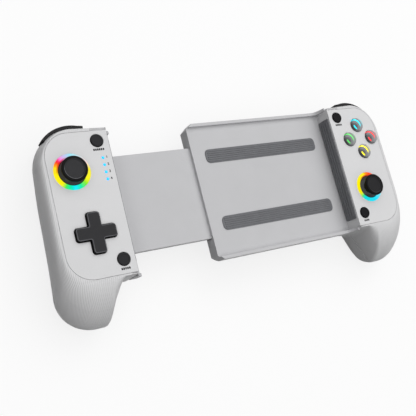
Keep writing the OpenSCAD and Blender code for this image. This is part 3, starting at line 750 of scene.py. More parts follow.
for side, word in SIDES:
    shell = grip_front_half()
    if side == RIGHT:
        shell = combine(shell, "DIFFERENCE", socket_cutter())
    half = word + "_half"
    finish_piece(shell, word + "_grip_front", half, shell_plastic, [word + "_front_shell"], side)
    finish_piece(grip_rear_half(), word + "_grip_rear", half, shell_plastic,
                 [word + "_rear_shell"], side)

# %% [markdown]
# ## Face panels
# A panel is a flat plate that drops into the grip, so all its edges are broken with a small round: outside,
# and in every hole. A wall with a rounded top edge is run up along the outline and closed above and below.
# Plugs with the same round, flaring outwards, then cut all the holes at once. Four posts below stand on the
# circuit board.

# %% Plates
EDGE_CUTS = 4
PLUG_PAST, PLUG_LIFT = 0.5, 0.006


def wall_up(bm, corners, low, high, edge, cuts=8, hole=False):
    """A wall along an outline, rounded into its top; gives its lowest and its highest loop."""
    lowest = start_loop(bm, at_height(rounded(corners, cuts), low))
    loop = lowest
    for i in range(EDGE_CUTS + 1):
        turn = math.pi / 2 * i / EDGE_CUTS
        draw = edge * (1 - math.cos(turn)) * (-1 if hole else 1)
        points = rounded(moved_in(corners, draw), cuts)
        loop = run_on(bm, loop, at_height(points, high - edge + edge * math.sin(turn)))
    return lowest, loop


def plate(outer, low, high, edge, cuts=8):
    bm = bmesh.new()
    for loop in wall_up(bm, outer, low, high, edge, cuts):
        cap(bm, loop)
    return bm


def plugs(holes, low, high, edge, cuts):
    bm = bmesh.new()
    for hole in holes:
        lowest, loop = wall_up(bm, hole, low - PLUG_PAST, high + PLUG_LIFT, edge, cuts, hole=True)
        flared = rounded(moved_in(hole, -edge), cuts)
        loop = run_on(bm, loop, at_height(flared, high + PLUG_PAST))
        for end in (lowest, loop):
            cap(bm, end)
    return bm


def add(bm, other):
    """Puts another bmesh beside what is there."""
    mesh = to_mesh(other, "part")
    bm.from_mesh(mesh)
    bpy.data.meshes.remove(mesh)


def cross_outline(x, y, reach, half_arm, radius, inner=0.6):
    """A cross: an arm and the corner beside it, turned four times."""
    arm = [(-half_arm, reach, radius), (half_arm, reach, radius), (half_arm, half_arm, inner)]
    corners = []
    for _ in range(4):
        corners += [(x + i, y + j, r) for i, j, r in arm]
        arm = [(j, -i, r) for i, j, r in arm]
    return corners


print("plates and plugs are ready to be drawn")

# %% Cut and finish the panels
RING_R = 10.4
FACE_R, SMALL_R = 4.7, 3.6
RING_GAP, BUTTON_GAP, CROSS_GAP = 0.05, 0.3, 0.55
LIGHT_PITCH, LIGHT_HOLE_R = 4.21, 0.85
PANEL_EDGE, HOLE_EDGE, PANEL_CUTS = 0.12, 0.2, 14
POST_LENGTH, PANEL_POST_R = 12, 1.8
POSTS = [(5.2, 3), (PANEL_W - 3.5, -4), (PANEL_W - 6.5, -HALF_H + 7.5), (16.5, -HALF_H + 5.5)]
left_stick, right_stick = at("left_stick_cap"), at("right_stick_cap")
cross_at = at("cross_pad")
cross_corners = cross_outline(cross_at.x, cross_at.y, 11.4, 3.6, 1.5)
lights_at = at("player_lights")
light_rows = [lights_at.y + i * LIGHT_PITCH for i in (-1.5, -0.5, 0.5, 1.5)]
face_ways = ("north", "east", "south", "west")
face_buttons = [at("face_button_" + way) for way in face_ways]
panel_corners = [(0, HALF_H, 0.4), (PANEL_W, HALF_H, PANEL_R), (PANEL_W, -HALF_H, PANEL_R), (0, -HALF_H, 0.4)]


def round_holes(spots, radius):
    return [circle_outline(spot.x, spot.y, radius) for spot in spots]


left_holes = round_holes([at("select_button"), at("turbo_button")], SMALL_R + BUTTON_GAP)
left_holes += round_holes([left_stick], RING_R + RING_GAP) + [moved_in(cross_corners, -CROSS_GAP)]
left_holes += [circle_outline(lights_at.x, y, LIGHT_HOLE_R) for y in light_rows]
right_holes = round_holes([at("start_button"), at("home_button")], SMALL_R + BUTTON_GAP)
right_holes += round_holes([right_stick], RING_R + RING_GAP) + round_holes(face_buttons, FACE_R + BUTTON_GAP)

for (side, word), holes in zip(SIDES, (right_holes, left_holes)):
    panel = plate(panel_corners, FACE_Z - PANEL_T, FACE_Z, PANEL_EDGE, PANEL_CUTS)
    cutters = plugs(holes, FACE_Z - PANEL_T, FACE_Z, HOLE_EDGE, PANEL_CUTS)
    panel = combine(panel, "DIFFERENCE", cutters)
    for x, y in POSTS:
        add(panel, cylinder(x, y, FACE_Z - POST_LENGTH, FACE_Z - PANEL_T, PANEL_POST_R, 24))
    finish_piece(panel, word + "_panel", word + "_half", panel_plastic,
                 [word + "_front_panel"], side)

# %% [markdown]
# ## Black controls
# The stick caps, small buttons and cross pad are black, rubbed smooth where a thumb rests and grainy
# elsewhere. Fine grain and a slow change of gloss stand for handling. Sides get painted shade and edges a
# painted highlight, both found from the height of a surface below the top or from its distance to the stick's
# axis; on a stick the painted highlight lies mostly on one side of the rim. The stick's dome is glossier than
# its cap, so a thin coat lies on all that is below the rim.

# %% Black plastics
TREAD_PITCH = 0.55


def black_plastic(name, tone, gloss, grain, shine=0.06, top=None, edge_highlight=0.0, stick=None):
    """Black plastic. Below its top its sides get painted shade and its top edge a painted highlight; a stick
    gets both on its rim.
    """
    finish = Finish(name, specular_ior_level=shine)
    handled = finish.noise(3.5, 3.0)
    speck = finish.noise(0.22, 1.0)
    deep, dark, painted_highlight = shaded(tone, 0.72), shaded(tone, 0.2), shaded(tone, 1.9)
    colour = finish.blend(speck * 0.6 + handled * 0.4, deep, tone)
    height = speck * grain
    if top:
        z = finish.axes()[2]
        # Painted shade: below its top a side is coloured darker.
        colour = finish.blend(z.step(top - 0.45, top - 0.65), colour, dark)
        # Painted highlight: the top edge is coloured paler.
        edge = z.step(top - 0.55, top - 0.35) * z.step(top - 0.02, top - 0.1)
        colour = finish.blend(edge * (handled * 0.5 + 0.6) * edge_highlight, colour, painted_highlight)
    if stick:
        z = finish.axes()[2]
        across, along = finish.about(stick)
        radius = (across * across + along * along) ** 0.5
        tread = (radius * (2 * math.pi / TREAD_PITCH)).sine() * radius.step(4.9, 4.4)
        height = height + tread * 0.35
        # Painted shade: the cap's rim and side are coloured darker.
        colour = finish.blend(radius.step(5.5, 5.9), colour, dark)
        # Painted highlight: the rim's inner edge is coloured paler, mostly on one side.
        rim = radius.step(5.35, 5.55) * radius.step(5.95, 5.75)
        painted_light = (across * 0.7 + along).step(0.0, -5.0) * 0.9 + 0.1
        colour = finish.blend(rim * painted_light * (handled * 0.8 + 0.5), colour, painted_highlight)
        colour = finish.blend(z.step(stick.z - 2.3, stick.z - 2.7), colour, deep)
        finish.drive("Coat Roughness", 0.12)
        finish.drive("Coat Weight", z.step(stick.z - 1.3, stick.z - 1.7) * 0.55)
    return finish.dress(colour, handled * 0.16 + (gloss - 0.08), height, 0.04)


SMALL_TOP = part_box("start_button")[1].z / MM
matte_black = black_plastic("matte black", (50, 50, 52), 0.42, 1.0, top=SMALL_TOP)
# The right grip's small buttons are a darker copy of the black, painted shade; they also have less grain and
# shine.
right_shaded_black = black_plastic("rubbed black", (32, 32, 34), 0.36, 0.6, shine=0.03, top=SMALL_TOP)
pad_black = black_plastic("cross pad black", (58, 58, 60), 0.42, 1.0, top=cross_at.z, edge_highlight=1.0)
gloss_black = black_plastic("gloss black", (18, 18, 20), 0.3, 0.12, shine=0.12)
inner_black = black_plastic("inner black", (36, 36, 38), 0.55, 0.8)
print("five black plastics made")

# %% [markdown]
# Turned shapes are drawn as half a section and spun about their axis. The stick cap is one closed section:
# the dished top with its rim, the neck, the dome that shuts the hole in the panel, and the tube that grips
# the stem. A small button has a dished top, and a flange below the panel keeps it in its hole.

# %% Turned shapes


def lathe(corners, x, y, z, closed=False, steps=96):
    bm = bmesh.new()
    verts = [bm.verts.new((x + p.x, y, z + p.y)) for p in rounded(corners, 6)]
    edges = [bm.edges.new(pair) for pair in zip(verts, verts[1:])]
    if closed:
        edges.append(bm.edges.new((verts[-1], verts[0])))
    bmesh.ops.spin(bm, geom=verts + edges, cent=(x, y, z), axis=(0, 0, 1), angle=2 * math.pi, steps=steps,
                   use_merge=True)
    return bm


def arc_of(radius, start, end, count):
    turns = [math.radians(start + (end - start) * i / count) for i in range(count + 1)]
    return [(radius * math.cos(t), radius * math.sin(t), 0) for t in turns]


def flange(radius, high=-2.4, low=-3.4, out=0.6):
    """The foot of a button's section, with its heights from the face."""
    return [(radius, high, 0), (radius + out, high, 0.1), (radius + out, low, 0.1), (0, low, 0)]


def in_row(side, spot):
    """A place on a grip as a place in the whole frame, in millimetres."""
    return Vector((side * (END_WALL + spot.x), FACE_Y + spot.y, spot.z))


print("sections can be spun")

# %% Stick caps and small buttons
CAP_R = 7.4
DOME_R = 10.3
PIVOT_UP = FACE_Z - 7
STEM_R, TUBE_R, TUBE_LOW, TUBE_HIGH = 1.6, 3.2, 4.6, 8.9


def stick_cap(spot):
    top = spot.z - PIVOT_UP
    section = [(0, top - 0.8, 0), (CAP_R - 2.3, top - 0.74, 0.9), (CAP_R - 1.6, top, 0.35),
               (CAP_R, top, 0.75), (CAP_R, top - 1.9, 0.6), (4.5, top - 2.4, 0.5)]
    section += arc_of(DOME_R, 66.5, 18, 14) + arc_of(DOME_R - 1, 18, 70.5, 8)
    section += [(TUBE_R, TUBE_LOW, 0), (STEM_R, TUBE_LOW, 0), (STEM_R, TUBE_HIGH, 0), (0, TUBE_HIGH, 0)]
    return lathe(section, spot.x, spot.y, PIVOT_UP)


# The right stick's tone is darker than the left's: painted shade on a copy of the same black.
sticks = [(RIGHT, "right", right_stick, (40, 40, 42)), (LEFT, "left", left_stick, (60, 60, 62))]
for side, word, spot, tone in sticks:
    painted_light = black_plastic(word + " stick black", tone, 0.44, 1.0, stick=in_row(side, spot))
    finish_piece(stick_cap(spot), word + "_thumb_cap", word + "_stick", painted_light,
                 [word + "_stick_cap"], side)

small_section = [(0, 0.7, 0), (SMALL_R - 1.2, 0.74, 0.3), (SMALL_R - 1, 0.9, 0.1), (SMALL_R, 0.86, 0.3)]
small_section += flange(SMALL_R)
small_buttons = [(RIGHT, "start", right_shaded_black), (RIGHT, "home", right_shaded_black), (LEFT, "select", matte_black),
                 (LEFT, "turbo", matte_black)]
for side, name, black in small_buttons:
    spot = at(name + "_button")
    button = lathe(small_section, spot.x, spot.y, FACE_Z)
    finish_piece(button, name + "_cap", name, black, [name + "_button"], side)

# %% [markdown]
# The cross pad is a plate in the shape of its outline with a generous round on the top edge. Below the panel
# it has a flange that keeps it in, and the stem and pin that it rocks on.

# %% Cross pad
PAD_EDGE = 0.8
PAD_LOW, FLANGE_TOP, STEM_TOP, STEM_LOW, PIN_Z = [FACE_Z - drop for drop in (3.9, 3, 3.4, 7.4, 6)]
FLANGE_R, PAD_STEM_R, PIN_R, HALF_PIN = 9, 1.6, 0.7, 3.4

pad = plate(cross_corners, PAD_LOW, cross_at.z, PAD_EDGE)
pad = combine(pad, "UNION", cylinder(cross_at.x, cross_at.y, PAD_LOW, FLANGE_TOP, FLANGE_R))
pad = combine(pad, "UNION", cylinder(cross_at.x, cross_at.y, STEM_LOW, STEM_TOP, PAD_STEM_R))
pin = cylinder(0, 0, -HALF_PIN, HALF_PIN, PIN_R)
move(pin, Matrix.Translation((cross_at.x, cross_at.y, PIN_Z)) @ LAID_BACK)
pad = combine(pad, "UNION", pin)
finish_piece(pad, "direction_pad", "cross", pad_black, ["cross_pad"], LEFT)

# %% [markdown]
# ## Lit pieces
# A ring of clear plastic round each stick is lit from below by coloured lamps, so its colour runs round the
# circle. The angle about the stick, taken from the surface's own coordinates, picks the colour. On one side
# the inner edge is a deeper red.

# %% Light rings
BLACK = (0, 0, 0)
INNER_RED = (205, 20, 10)


def rainbow(name, centre, stops, red_way):
    finish = Finish(name, roughness=0.35, specular_ior_level=0.1, emission_strength=1.0)
    across, along = finish.about(centre)
    turn = along.angle_to(across) * (0.5 / math.pi) + 0.5
    colours = finish.node("ShaderNodeValToRGB", {"stops": stops}, {0: turn})
    square = across * across + along * along
    inner = square.step((RING_R - 1.4) ** 2, (RING_R - 2.1) ** 2)
    inner = inner * (across * red_way.x + along * red_way.y).step(5.5, 8.0)
    lit = finish.blend(inner, colours, finish.blend(0.8, colours, INNER_RED))
    glow = (finish.noise(1.6) * 0.3 + 0.85).at_most(1.0)
    finish.drive("Base Color", finish.blend(0.04, BLACK, colours))
    finish.drive("Emission Color", finish.blend(glow, BLACK, lit))
    return finish.material


left_stops = [(0.00, 255, 236, 0), (0.12, 250, 240, 10), (0.16, 60, 240, 90), (0.20, 0, 240, 170),
              (0.25, 0, 236, 255), (0.31, 0, 240, 150), (0.36, 130, 235, 30), (0.41, 250, 242, 10),
              (0.51, 255, 240, 40), (0.57, 250, 220, 214), (0.74, 150, 227, 243), (0.81, 205, 185, 235),
              (0.845, 250, 125, 220), (0.875, 255, 30, 80), (0.895, 255, 60, 0), (0.93, 255, 170, 0),
              (0.95, 255, 225, 0)]
right_stops = [(0.00, 255, 236, 0), (0.06, 240, 236, 0), (0.10, 70, 225, 120), (0.13, 0, 222, 225),
               (0.30, 0, 222, 250), (0.40, 120, 226, 240), (0.52, 210, 215, 225), (0.61, 250, 140, 90),
               (0.70, 255, 60, 0), (0.75, 255, 140, 0), (0.79, 255, 238, 0)]
ring_section = [(RING_R - 2.5, 0.15, 0.06), (RING_R, 0.15, 0.15), (RING_R, -PANEL_T, 0),
                (RING_R - 0.6, -PANEL_T, 0), (RING_R - 1.75, -0.6, 0.05), (RING_R - 2.3, -0.12, 0.05)]
rings = [(RIGHT, "right", right_stick, right_stops, Vector((-0.1, 1.0))),
         (LEFT, "left", left_stick, left_stops, Vector((-0.8, 0.6)))]
for side, word, spot, stops, red_way in rings:
    ring = lathe(ring_section, spot.x, spot.y, FACE_Z, closed=True)
    glow = rainbow(word + " ring light", in_row(side, spot), stops, red_way)
    finish_piece(ring, word + "_glow_ring", word + "_half", glow, [word + "_light_ring"], side)

# %% [markdown]
# The four player lights are plain light pipes on one bar below the panel, brightest in the middle. They stand
# at an even pitch, so the part of a pitch that is left over tells how far a spot is from its own light.

# %% Player lights
PIPE_R, BAR_HALF, BAR_T = 0.8, 1.2, 2


def light_pipe(name, colour):
    finish = Finish(name, roughness=0.2, ior=1.49, emission_strength=1.0)
    across, along = finish.about(in_row(LEFT, lights_at))
    spacing = (along + 50.5 * LIGHT_PITCH) * (1 / LIGHT_PITCH)
    along = (spacing.fraction() - 0.5) * LIGHT_PITCH
    core = (across * across + along * along).step(0.7, 0.05)
    lit = finish.blend(core, colour, tuple(v * 0.8 + 40 for v in colour))
    finish.drive("Base Color", lit)
    finish.drive("Emission Color", lit)
    return finish.material


pipe = bmesh.new()
light_top = lights_at.z - FACE_Z
pipe_section = [(0, light_top, 0), (PIPE_R, light_top - 0.05, 0.25), (PIPE_R, -PANEL_T, 0), (0, -PANEL_T, 0)]
for y in light_rows:
    add(pipe, lathe(pipe_section, lights_at.x, y, FACE_Z, steps=32))
bar = bar_outline(lights_at.x, lights_at.y, BAR_HALF, 2 * LIGHT_PITCH, 0.2)
add(pipe, plate(bar, FACE_Z - PANEL_T - BAR_T, FACE_Z - PANEL_T, 0.1))
finish_piece(pipe, "light_pipes", "left_half", light_pipe("player light", (0, 165, 230)),
             ["player_lights"], LEFT)

# %% [markdown]
# ## Smoky face buttons
# The four round buttons are smoky clear domes. Painted coloured reflections glow in them: a broad arc that
# sweeps over from one side and glints along the rim; no symbol is drawn. The finish makes them from distances
# about the button's middle, paints shade on the dome from dark to pale across the arc and adds a painted
# highlight streak.

# %% Face buttons
DOME_LOW, DOME_RISE, DOME_CUTS = 1.15, 1.2, 14


def smoky(name, centre, colour, strength):
    finish = Finish(name, specular_ior_level=0.3, emission_strength=0.8)
    across, along = [wire * (1 / FACE_R) for wire in finish.about(centre)]

    def away(i, j):
        from_i, from_j = across - i, along - j
        return (from_i * from_i + from_j * from_j) ** 0.5

    sweep = away(-0.8, -0.28)
    middle = away(0.0, 0.0)
    # Painted coloured reflections that glow: a broad arc, a faint arc along the rim and a glint.
    arc_reflection = sweep.step(0.94, 1.0) * sweep.step(1.26, 1.18) * along.step(-0.6, 0.1)
    rim = middle.step(0.66, 0.76) * middle.step(0.96, 0.86)
    rim = rim * along.step(-0.3, 0.0) * across.step(0.2, 0.5)
    glint = middle.step(0.66, 0.74) * middle.step(0.92, 0.86)
    glint = glint * along.step(0.0, -0.2) * across.step(-0.35, -0.5)
    lit = (arc_reflection + rim * 0.35 + glint).at_most(1.0) * strength
    cloud = finish.noise(2.2)
    # Painted shade from dark to pale across the dome, with a painted highlight streak.
    highlight_streak = sweep.step(0.6, 0.66) * sweep.step(0.8, 0.74)
    shade = sweep.step(0.2, 1.3) * 0.65 + highlight_streak * 0.2 + cloud * 0.2
    smoke = finish.blend(shade, (62, 63, 65), (158, 160, 163))
    finish.drive("Emission Color", finish.blend(lit, BLACK, colour))
    return finish.dress(finish.blend(lit, smoke, colour), cloud * 0.12 + 0.24)


bends = [math.radians(90 * i / DOME_CUTS) for i in range(DOME_CUTS + 1)]
dome = [(FACE_R * math.sin(t), DOME_LOW + DOME_RISE * math.cos(t), 0) for t in bends]
tints = [("smoke_cyan", (20, 215, 230), 1.0), ("smoke_red", (235, 45, 50), 1.0),
         ("smoke_yellow", (245, 235, 30), 1.0), ("smoke_green", (80, 220, 90), 0.7)]
for way, spot, (slot, colour, strength) in zip(face_ways, face_buttons, tints):
    tint = smoky("smoky " + way, in_row(RIGHT, spot), colour, strength)
    button = lathe(dome + flange(FACE_R), spot.x, spot.y, FACE_Z)
    finish_piece(button, way + "_dome", way + "_button", tint, ["face_button_" + way], RIGHT)

# %% [markdown]
# ## Printed marks
# Beside each player light stands its plain number, and below each small button a row of bars holds the place
# of a word. Print lies on the panel with next to no height, so each mark is a flat shape raised by a hair.

# %% Marks
INK, SUNK = 0.03, 0.02
LETTER_PITCH, LETTER_DROP, LETTER_HALF_W, LETTER_HALF_H = 1.12, 5.3, 0.42, 0.62
FIGURE_SIZE, FIGURE_WEIGHT, FIGURE_LEFT, FIGURE_UP = 1.9, 0.07, 2.3, 0.2


def printed(bm, faces):
    """Raises flat faces into print."""
    raised = bmesh.ops.extrude_face_region(bm, geom=faces)["geom"]
    moved = [v for v in raised if isinstance(v, bmesh.types.BMVert)]
    bmesh.ops.translate(bm, vec=(0, 0, INK + SUNK), verts=moved)


def word_bars(bm, node, letters):
    spot = at(node)
    for i in range(letters):
        x = spot.x + (i - (letters - 1) / 2) * LETTER_PITCH
        letter = bar_outline(x, spot.y - LETTER_DROP, LETTER_HALF_W, LETTER_HALF_H, 0.15)
        printed(bm, cap(bm, start_loop(bm, at_height(rounded(letter, 3), FACE_Z - SUNK))))


def number(bm, figure, x, y):
    """A plain figure, turned to read upright on the left grip."""
    curve = bpy.data.curves.new("figure", "FONT")
    curve.body = figure
    curve.size = FIGURE_SIZE
    curve.offset = FIGURE_WEIGHT
    curve.align_x = curve.align_y = "CENTER"
    shape = bpy.data.objects.new("figure", curve)
    flat = bmesh.new()
    flat.from_mesh(bpy.data.meshes.new_from_object(shape))
    bmesh.ops.remove_doubles(flat, verts=flat.verts, dist=0.001)
    printed(flat, flat.faces[:])
    move(flat, Matrix.Translation((x, y, FACE_Z - SUNK)) @ Matrix.Diagonal((-1, 1, 1, 1)))
    bpy.data.objects.remove(shape)
    add(bm, flat)


left_marks, right_marks = bmesh.new(), bmesh.new()
for figure, y in zip("1234", reversed(light_rows)):
    number(left_marks, figure, lights_at.x - FIGURE_LEFT, y + FIGURE_UP)
word_bars(left_marks, "select_button", 6)
word_bars(left_marks, "turbo_button", 5)
word_bars(right_marks, "start_button", 5)
word_bars(right_marks, "home_button", 4)
ink = black_plastic("print", (24, 24, 26), 0.6, 0.1)
finish_piece(left_marks, "left_print", "left_half", ink, [], LEFT)
finish_piece(right_marks, "right_print", "right_half", ink, [], RIGHT)

# %% [markdown]
# ## Rubber pads
# Strips of ribbed rubber give the clamp its hold: two on the cradle's floor and one on each end wall. Each is
# a thin plate whose top is filled round the feet of its ribs, and every rib is run up from its foot.

# %% Pads
PAD_ROUND, RIB_ROUND = 0.15, 0.12
RIB_SPARE, RIB_END = 1.2, 1.4
TRAY_STRIP_W = 9.0


def rubber(name, tone):
    finish = Finish(name, ior=1.5)
    grain = finish.noise(0.3)
    colour = finish.blend(finish.noise(5, 4.0), tone, shaded(tone, 1.18))
    return finish.dress(colour, grain * 0.2 + 0.62, grain, 0.03)


def close(bm, loops):
    edges = [edge for loop in loops for edge in loop_edges(bm, loop)]
    bmesh.ops.triangle_fill(bm, use_beauty=True, use_dissolve=False, edges=edges)


def ribbed_pad(length, width, radius, thick, ribs, rib_height):
    """A pad about the origin, its ribs along its length."""
    bm = bmesh.new()
    floor = thick - rib_height
    lowest, highest = wall_up(bm, bar_outline(0, 0, length / 2, width / 2, radius), 0, floor, PAD_ROUND)
    close(bm, [lowest])
    feet = [highest]
    step = (width - RIB_SPARE) / ribs
    for i in range(ribs):
        y = (i - (ribs - 1) / 2) * step
        rib = bar_outline(0, y, length / 2 - RIB_END, step * 0.3, step * 0.28)
        foot, crest = wall_up(bm, rib, floor, thick, RIB_ROUND)
        close(bm, [crest])
        feet.append(foot)
    close(bm, feet)
    return bm


pad_rubber = rubber("pad rubber", (92, 93, 96))
low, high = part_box("tray_pads")
for word, y in (("upper", high.y / MM - TRAY_STRIP_W / 2), ("lower", low.y / MM + TRAY_STRIP_W / 2)):
    strip = ribbed_pad((high.x - low.x) / MM, TRAY_STRIP_W, 3, (high.z - low.z) / MM, 6, 0.3)
    move(strip, Matrix.Translation(((low.x + high.x) / 2 / MM - END_WALL, y - FACE_Y, low.z / MM)))
    finish_piece(strip, word + "_tray_strip", "right_half", pad_rubber, ["tray_pads"], RIGHT)

low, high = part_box("right_end_pad")
on_end = Matrix(((0, 0, -1, 0), (1, 0, 0, 0), (0, 1, 0, (low.z + high.z) / 2 / MM), (0, 0, 0, 1)))
for side, word in SIDES:
    strip = ribbed_pad((high.y - low.y) / MM, (high.z - low.z) / MM, 1, (high.x - low.x) / MM, 4, 0.4)
    move(strip, on_end)
    finish_piece(strip, word + "_wall_strip", word + "_half", pad_rubber,
                 [word + "_end_pad"], side)

# %% [markdown]
# ## Softened edges
# The cradle, its cover, the slide plate and the shoulder buttons already have the right shape, but no
# moulding has knife edges. A copy of each solid is joined into clean faces and every hard edge gets a small
# round.

# %% Round off the hard edges
FLAT_ANGLE, HARD_ANGLE = math.radians(0.5), math.radians(40)


def solid_of(node):
    """A copy of a solid, in millimetres."""
    bm = bmesh.new()
    bm.from_mesh(nodes[node].data)
    bmesh.ops.scale(bm, vec=(METRE, METRE, METRE), verts=bm.verts)
    return bm


def onto_grip(bm):
    bmesh.ops.translate(bm, vec=(-END_WALL, -FACE_Y, 0), verts=bm.verts)


def softened(node, body, material, width):
    bm = solid_of(node)
    bmesh.ops.remove_doubles(bm, verts=bm.verts, dist=SAME_SPOT)
    bmesh.ops.dissolve_limit(bm, angle_limit=FLAT_ANGLE, verts=bm.verts, edges=bm.edges)
    hard = [e for e in bm.edges if len(e.link_faces) == 2 and e.calc_face_angle() > HARD_ANGLE]
    bmesh.ops.bevel(bm, geom=hard, offset=width, affect="EDGES", segments=3, profile=0.5, material=-1,
                    clamp_overlap=True)
    onto_grip(bm)
    finish_piece(bm, node + "_soft", body, material, [node], RIGHT)


softened("cradle_tray", "right_half", cradle_plastic, 0.4)
softened("cradle_cover", "right_half", cradle_plastic, 0.25)
softened("slide_plate", "left_half", cradle_plastic, 0.4)
for _, word in SIDES:
    softened(word + "_bumper", word + "_shoulder", gloss_black, 0.7)
    softened(word + "_trigger", word + "_pull", gloss_black, 0.6)

# %% [markdown]
# ## Inner pieces and fixings
# Screws, pins, return springs, boards, membranes and the battery keep their solids and get finishes of their
# own: brushed steel, solder mask with copper runs, silicone rubber and wrapped foil. The ribbon's striped film
# is made with them.

# %% Finishes for the rest
TRACK_PITCH = 0.8


def steel(name):
    finish = Finish(name, metallic=1.0)
    brushed = finish.noise(0.5, 3.0)
    colour = finish.blend(brushed, (168, 170, 174), (206, 208, 210))
    return finish.dress(colour, finish.noise(2.0) * 0.2 + 0.22, brushed, 0.01)


def circuit(name):
    finish = Finish(name, ior=1.5)
    x, y, _ = finish.axes()
    run = (x * 3.1 + (y * 0.5).sine() * 1.5).sine().step(0.55, 0.7)
    pads = ((x * 1.3).sine() * (y * 1.3).sine()).step(0.93, 0.96)
    mask = finish.blend(run, (20, 74, 48), (34, 104, 66))
    return finish.dress(finish.blend(pads, mask, (196, 170, 96)), run * -0.12 + 0.45, run, 0.03)


def wrap(name):
    finish = Finish(name, ior=1.5)
    crease = finish.noise(4.0, 4.0)
    return finish.dress(finish.blend(crease, (40, 44, 56), (62, 66, 80)), crease * 0.3 + 0.25, crease, 0.15)


def striped_film(name):
    finish = Finish(name, ior=1.55)
    track = (finish.axes()[1] * (2 * math.pi / TRACK_PITCH)).sine().step(-0.2, 0.2)
    return finish.dress(finish.blend(track, (150, 92, 34), (206, 140, 62)), track * 0.15 + 0.3, track, 0.02)


steel_finish, ribbon_film = steel("brushed steel"), striped_film("ribbon film")
by_slot = {"steel": steel_finish, "inner_black": inner_black, "board": circuit("circuit board"),
           "membrane": rubber("silicone", (120, 122, 126)), "battery": wrap("battery wrap"),
           "ribbon": ribbon_film}
dressed = 0
for subpart in frame["record"]["subparts"]:
    material = by_slot.get(subpart["material_slot"])
    if material:
        for held in nodes[subpart["node"]].material_slots:
            held.material = material
        dressed += 1
print(dressed, "solids dressed")

# %% [markdown]
# ## Springs and ribbon in the slide
# Inside the cradle two coil springs pull the slide plate in, and a folded ribbon carries the signals across.
# Both have one end on the cradle and the other on the plate, so neither rides on one half. A coil
# is a small circle of wire spun about the spring's axis with a step along it; the ribbon is a copy of its
# solid.

# %% Springs and ribbon
COIL_R, WIRE_R, WIRE_SIDES, TURNS, TURN_STEPS = 1.65, 0.32, 8, 40, 14
SPRING_R = 2
low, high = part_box("slide_springs")
slide_start = (high.x, (low.y + high.y) / 2, (low.z + high.z) / 2)


def coil(x, y, z, length):
    bm = bmesh.new()
    place = Matrix.Translation((x + WIRE_R, y + COIL_R, z))
    wire = bmesh.ops.create_circle(bm, segments=WIRE_SIDES, radius=WIRE_R, matrix=place)["verts"]
    advance = (length - 2 * WIRE_R) / (TURNS * TURN_STEPS)
    bmesh.ops.spin(bm, geom=wire + bm.edges[:], cent=(x, y, z), axis=(1, 0, 0), dvec=(advance, 0, 0),
                   angle=2 * math.pi * TURNS, steps=TURNS * TURN_STEPS)
    bmesh.ops.holes_fill(bm, edges=bm.edges, sides=WIRE_SIDES)
    return bm


springs = bmesh.new()
for y in (low.y / MM + SPRING_R, high.y / MM - SPRING_R):
    add(springs, coil(low.x / MM - END_WALL, y - FACE_Y, slide_start[2] / MM, (high.x - low.x) / MM))
springs = finish_piece(springs, "coil_springs", None, steel_finish, ["slide_springs"], RIGHT)
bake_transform(springs)

ribbon = solid_of("ribbon_cable")
onto_grip(ribbon)
ribbon = finish_piece(ribbon, "folded_ribbon", None, ribbon_film, ["ribbon_cable"], RIGHT)
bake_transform(ribbon)

# %% [markdown]
# ## Picture
# The camera stands above the left grip and looks across to the right. A wide ceiling lamp set a little to the
# right and behind lights the faces evenly and lets the left sides fall off, and a small key lamp models the
# grips.

# %% Camera and lamps
scene = bpy.context.scene
scene.view_settings.view_transform = "Standard"

lens = bpy.data.cameras.new("camera")
lens.lens = 55.03
lens.sensor_width = 36
camera = put_in_scene("camera", lens)
camera.location = (-0.2098, -0.0658, 0.3637)
camera.rotation_euler = [math.radians(a) for a in (16.5073, -25.6668, -15.7069)]
scene.camera = camera


def lamp(name, place, target, width, power):
    data = bpy.data.lights.new(name, "AREA")
    data.shape = "RECTANGLE"
    data.size = data.size_y = width
    data.energy = power
    made = put_in_scene(name, data)
    made.location = place
    made.rotation_euler = (Vector(target) - Vector(place)).to_track_quat("-Z", "Y").to_euler()


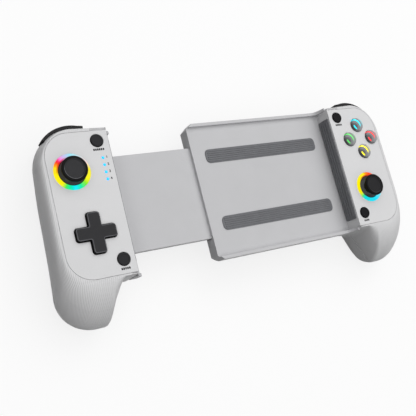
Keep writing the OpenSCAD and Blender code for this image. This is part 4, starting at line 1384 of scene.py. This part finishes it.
lamp("ceiling", (0.25, 0.25, 0.9), (0.25, 0.25, 0), 2.8, 25.0)
lamp("key lamp", (0.6, 0.9, 1.3), (0, 0, 0), 1.0, 5.0)
print("camera and", len(bpy.data.lights), "lamps placed")

# %% [markdown]
# Only the camera and reflections see the white of the world and of the floor, which keeps a faint shadow, so
# neither adds light to the object. The kind of ray that arrives tells the two cases apart.

# %% World and floor
BOUNCED = 0.09
WHITE = (1.0, 1.0, 1.0, 1.0)
FLOOR_SIZE, FLOOR_GAP = 3, 0.0002


def seen_rays(network):
    """1 for a ray from the camera or from a glossy or clear surface, and 0 for light that bounces."""
    path = network.node("ShaderNodeLightPath").socket.node.outputs
    seen = Wire(network, path["Is Camera Ray"]).at_least(Wire(network, path["Is Glossy Ray"]))
    return seen.at_least(Wire(network, path["Is Transmission Ray"]))


def white_floor(name):
    """White to the eye with a faint shadow, and dark to the light that would bounce up from it."""
    finish = Finish(name)
    seen = seen_rays(finish)
    colour = finish.blend(seen, (0.04, 0.04, 0.04, 1.0), (0.9, 0.9, 0.9, 1.0))
    finish.dress(colour, finish.noise(40) * 0.1 + 0.85)
    glow = finish.node("ShaderNodeEmission", None, {"Color": WHITE, "Strength": 1.0})
    plain = Wire(finish, finish.shader.outputs[0])
    mixed = finish.node("ShaderNodeMixShader", None, {0: seen * 0.8, 1: plain, 2: glow})
    finish.feed(finish.tree.nodes["Material Output"], "Surface", mixed)
    return finish.material


scene.world = bpy.data.worlds.new("studio")
scene.world.use_nodes = True
sky = Network(scene.world.node_tree)
background = sky.tree.nodes["Background"]
sky.feed(background, "Color", WHITE)
sky.feed(background, "Strength", seen_rays(sky) * (1 - BOUNCED) + BOUNCED)

sheet = bmesh.new()
bmesh.ops.create_grid(sheet, x_segments=1, y_segments=1, size=FLOOR_SIZE)
bmesh.ops.translate(sheet, vec=(0, 0, cad_box[0][2] - FLOOR_GAP), verts=sheet.verts)
floor = put_in_scene("floor", to_mesh(sheet, "floor"))
floor.data.materials.append(white_floor("white floor"))
print("floor", round(cad_box[0][2] * METRE - FLOOR_GAP * METRE, 2), "mm up")

# %% [markdown]
# ## A last update
# The view layer is brought up to date once more.

# %% Last update
bpy.context.view_layer.update()
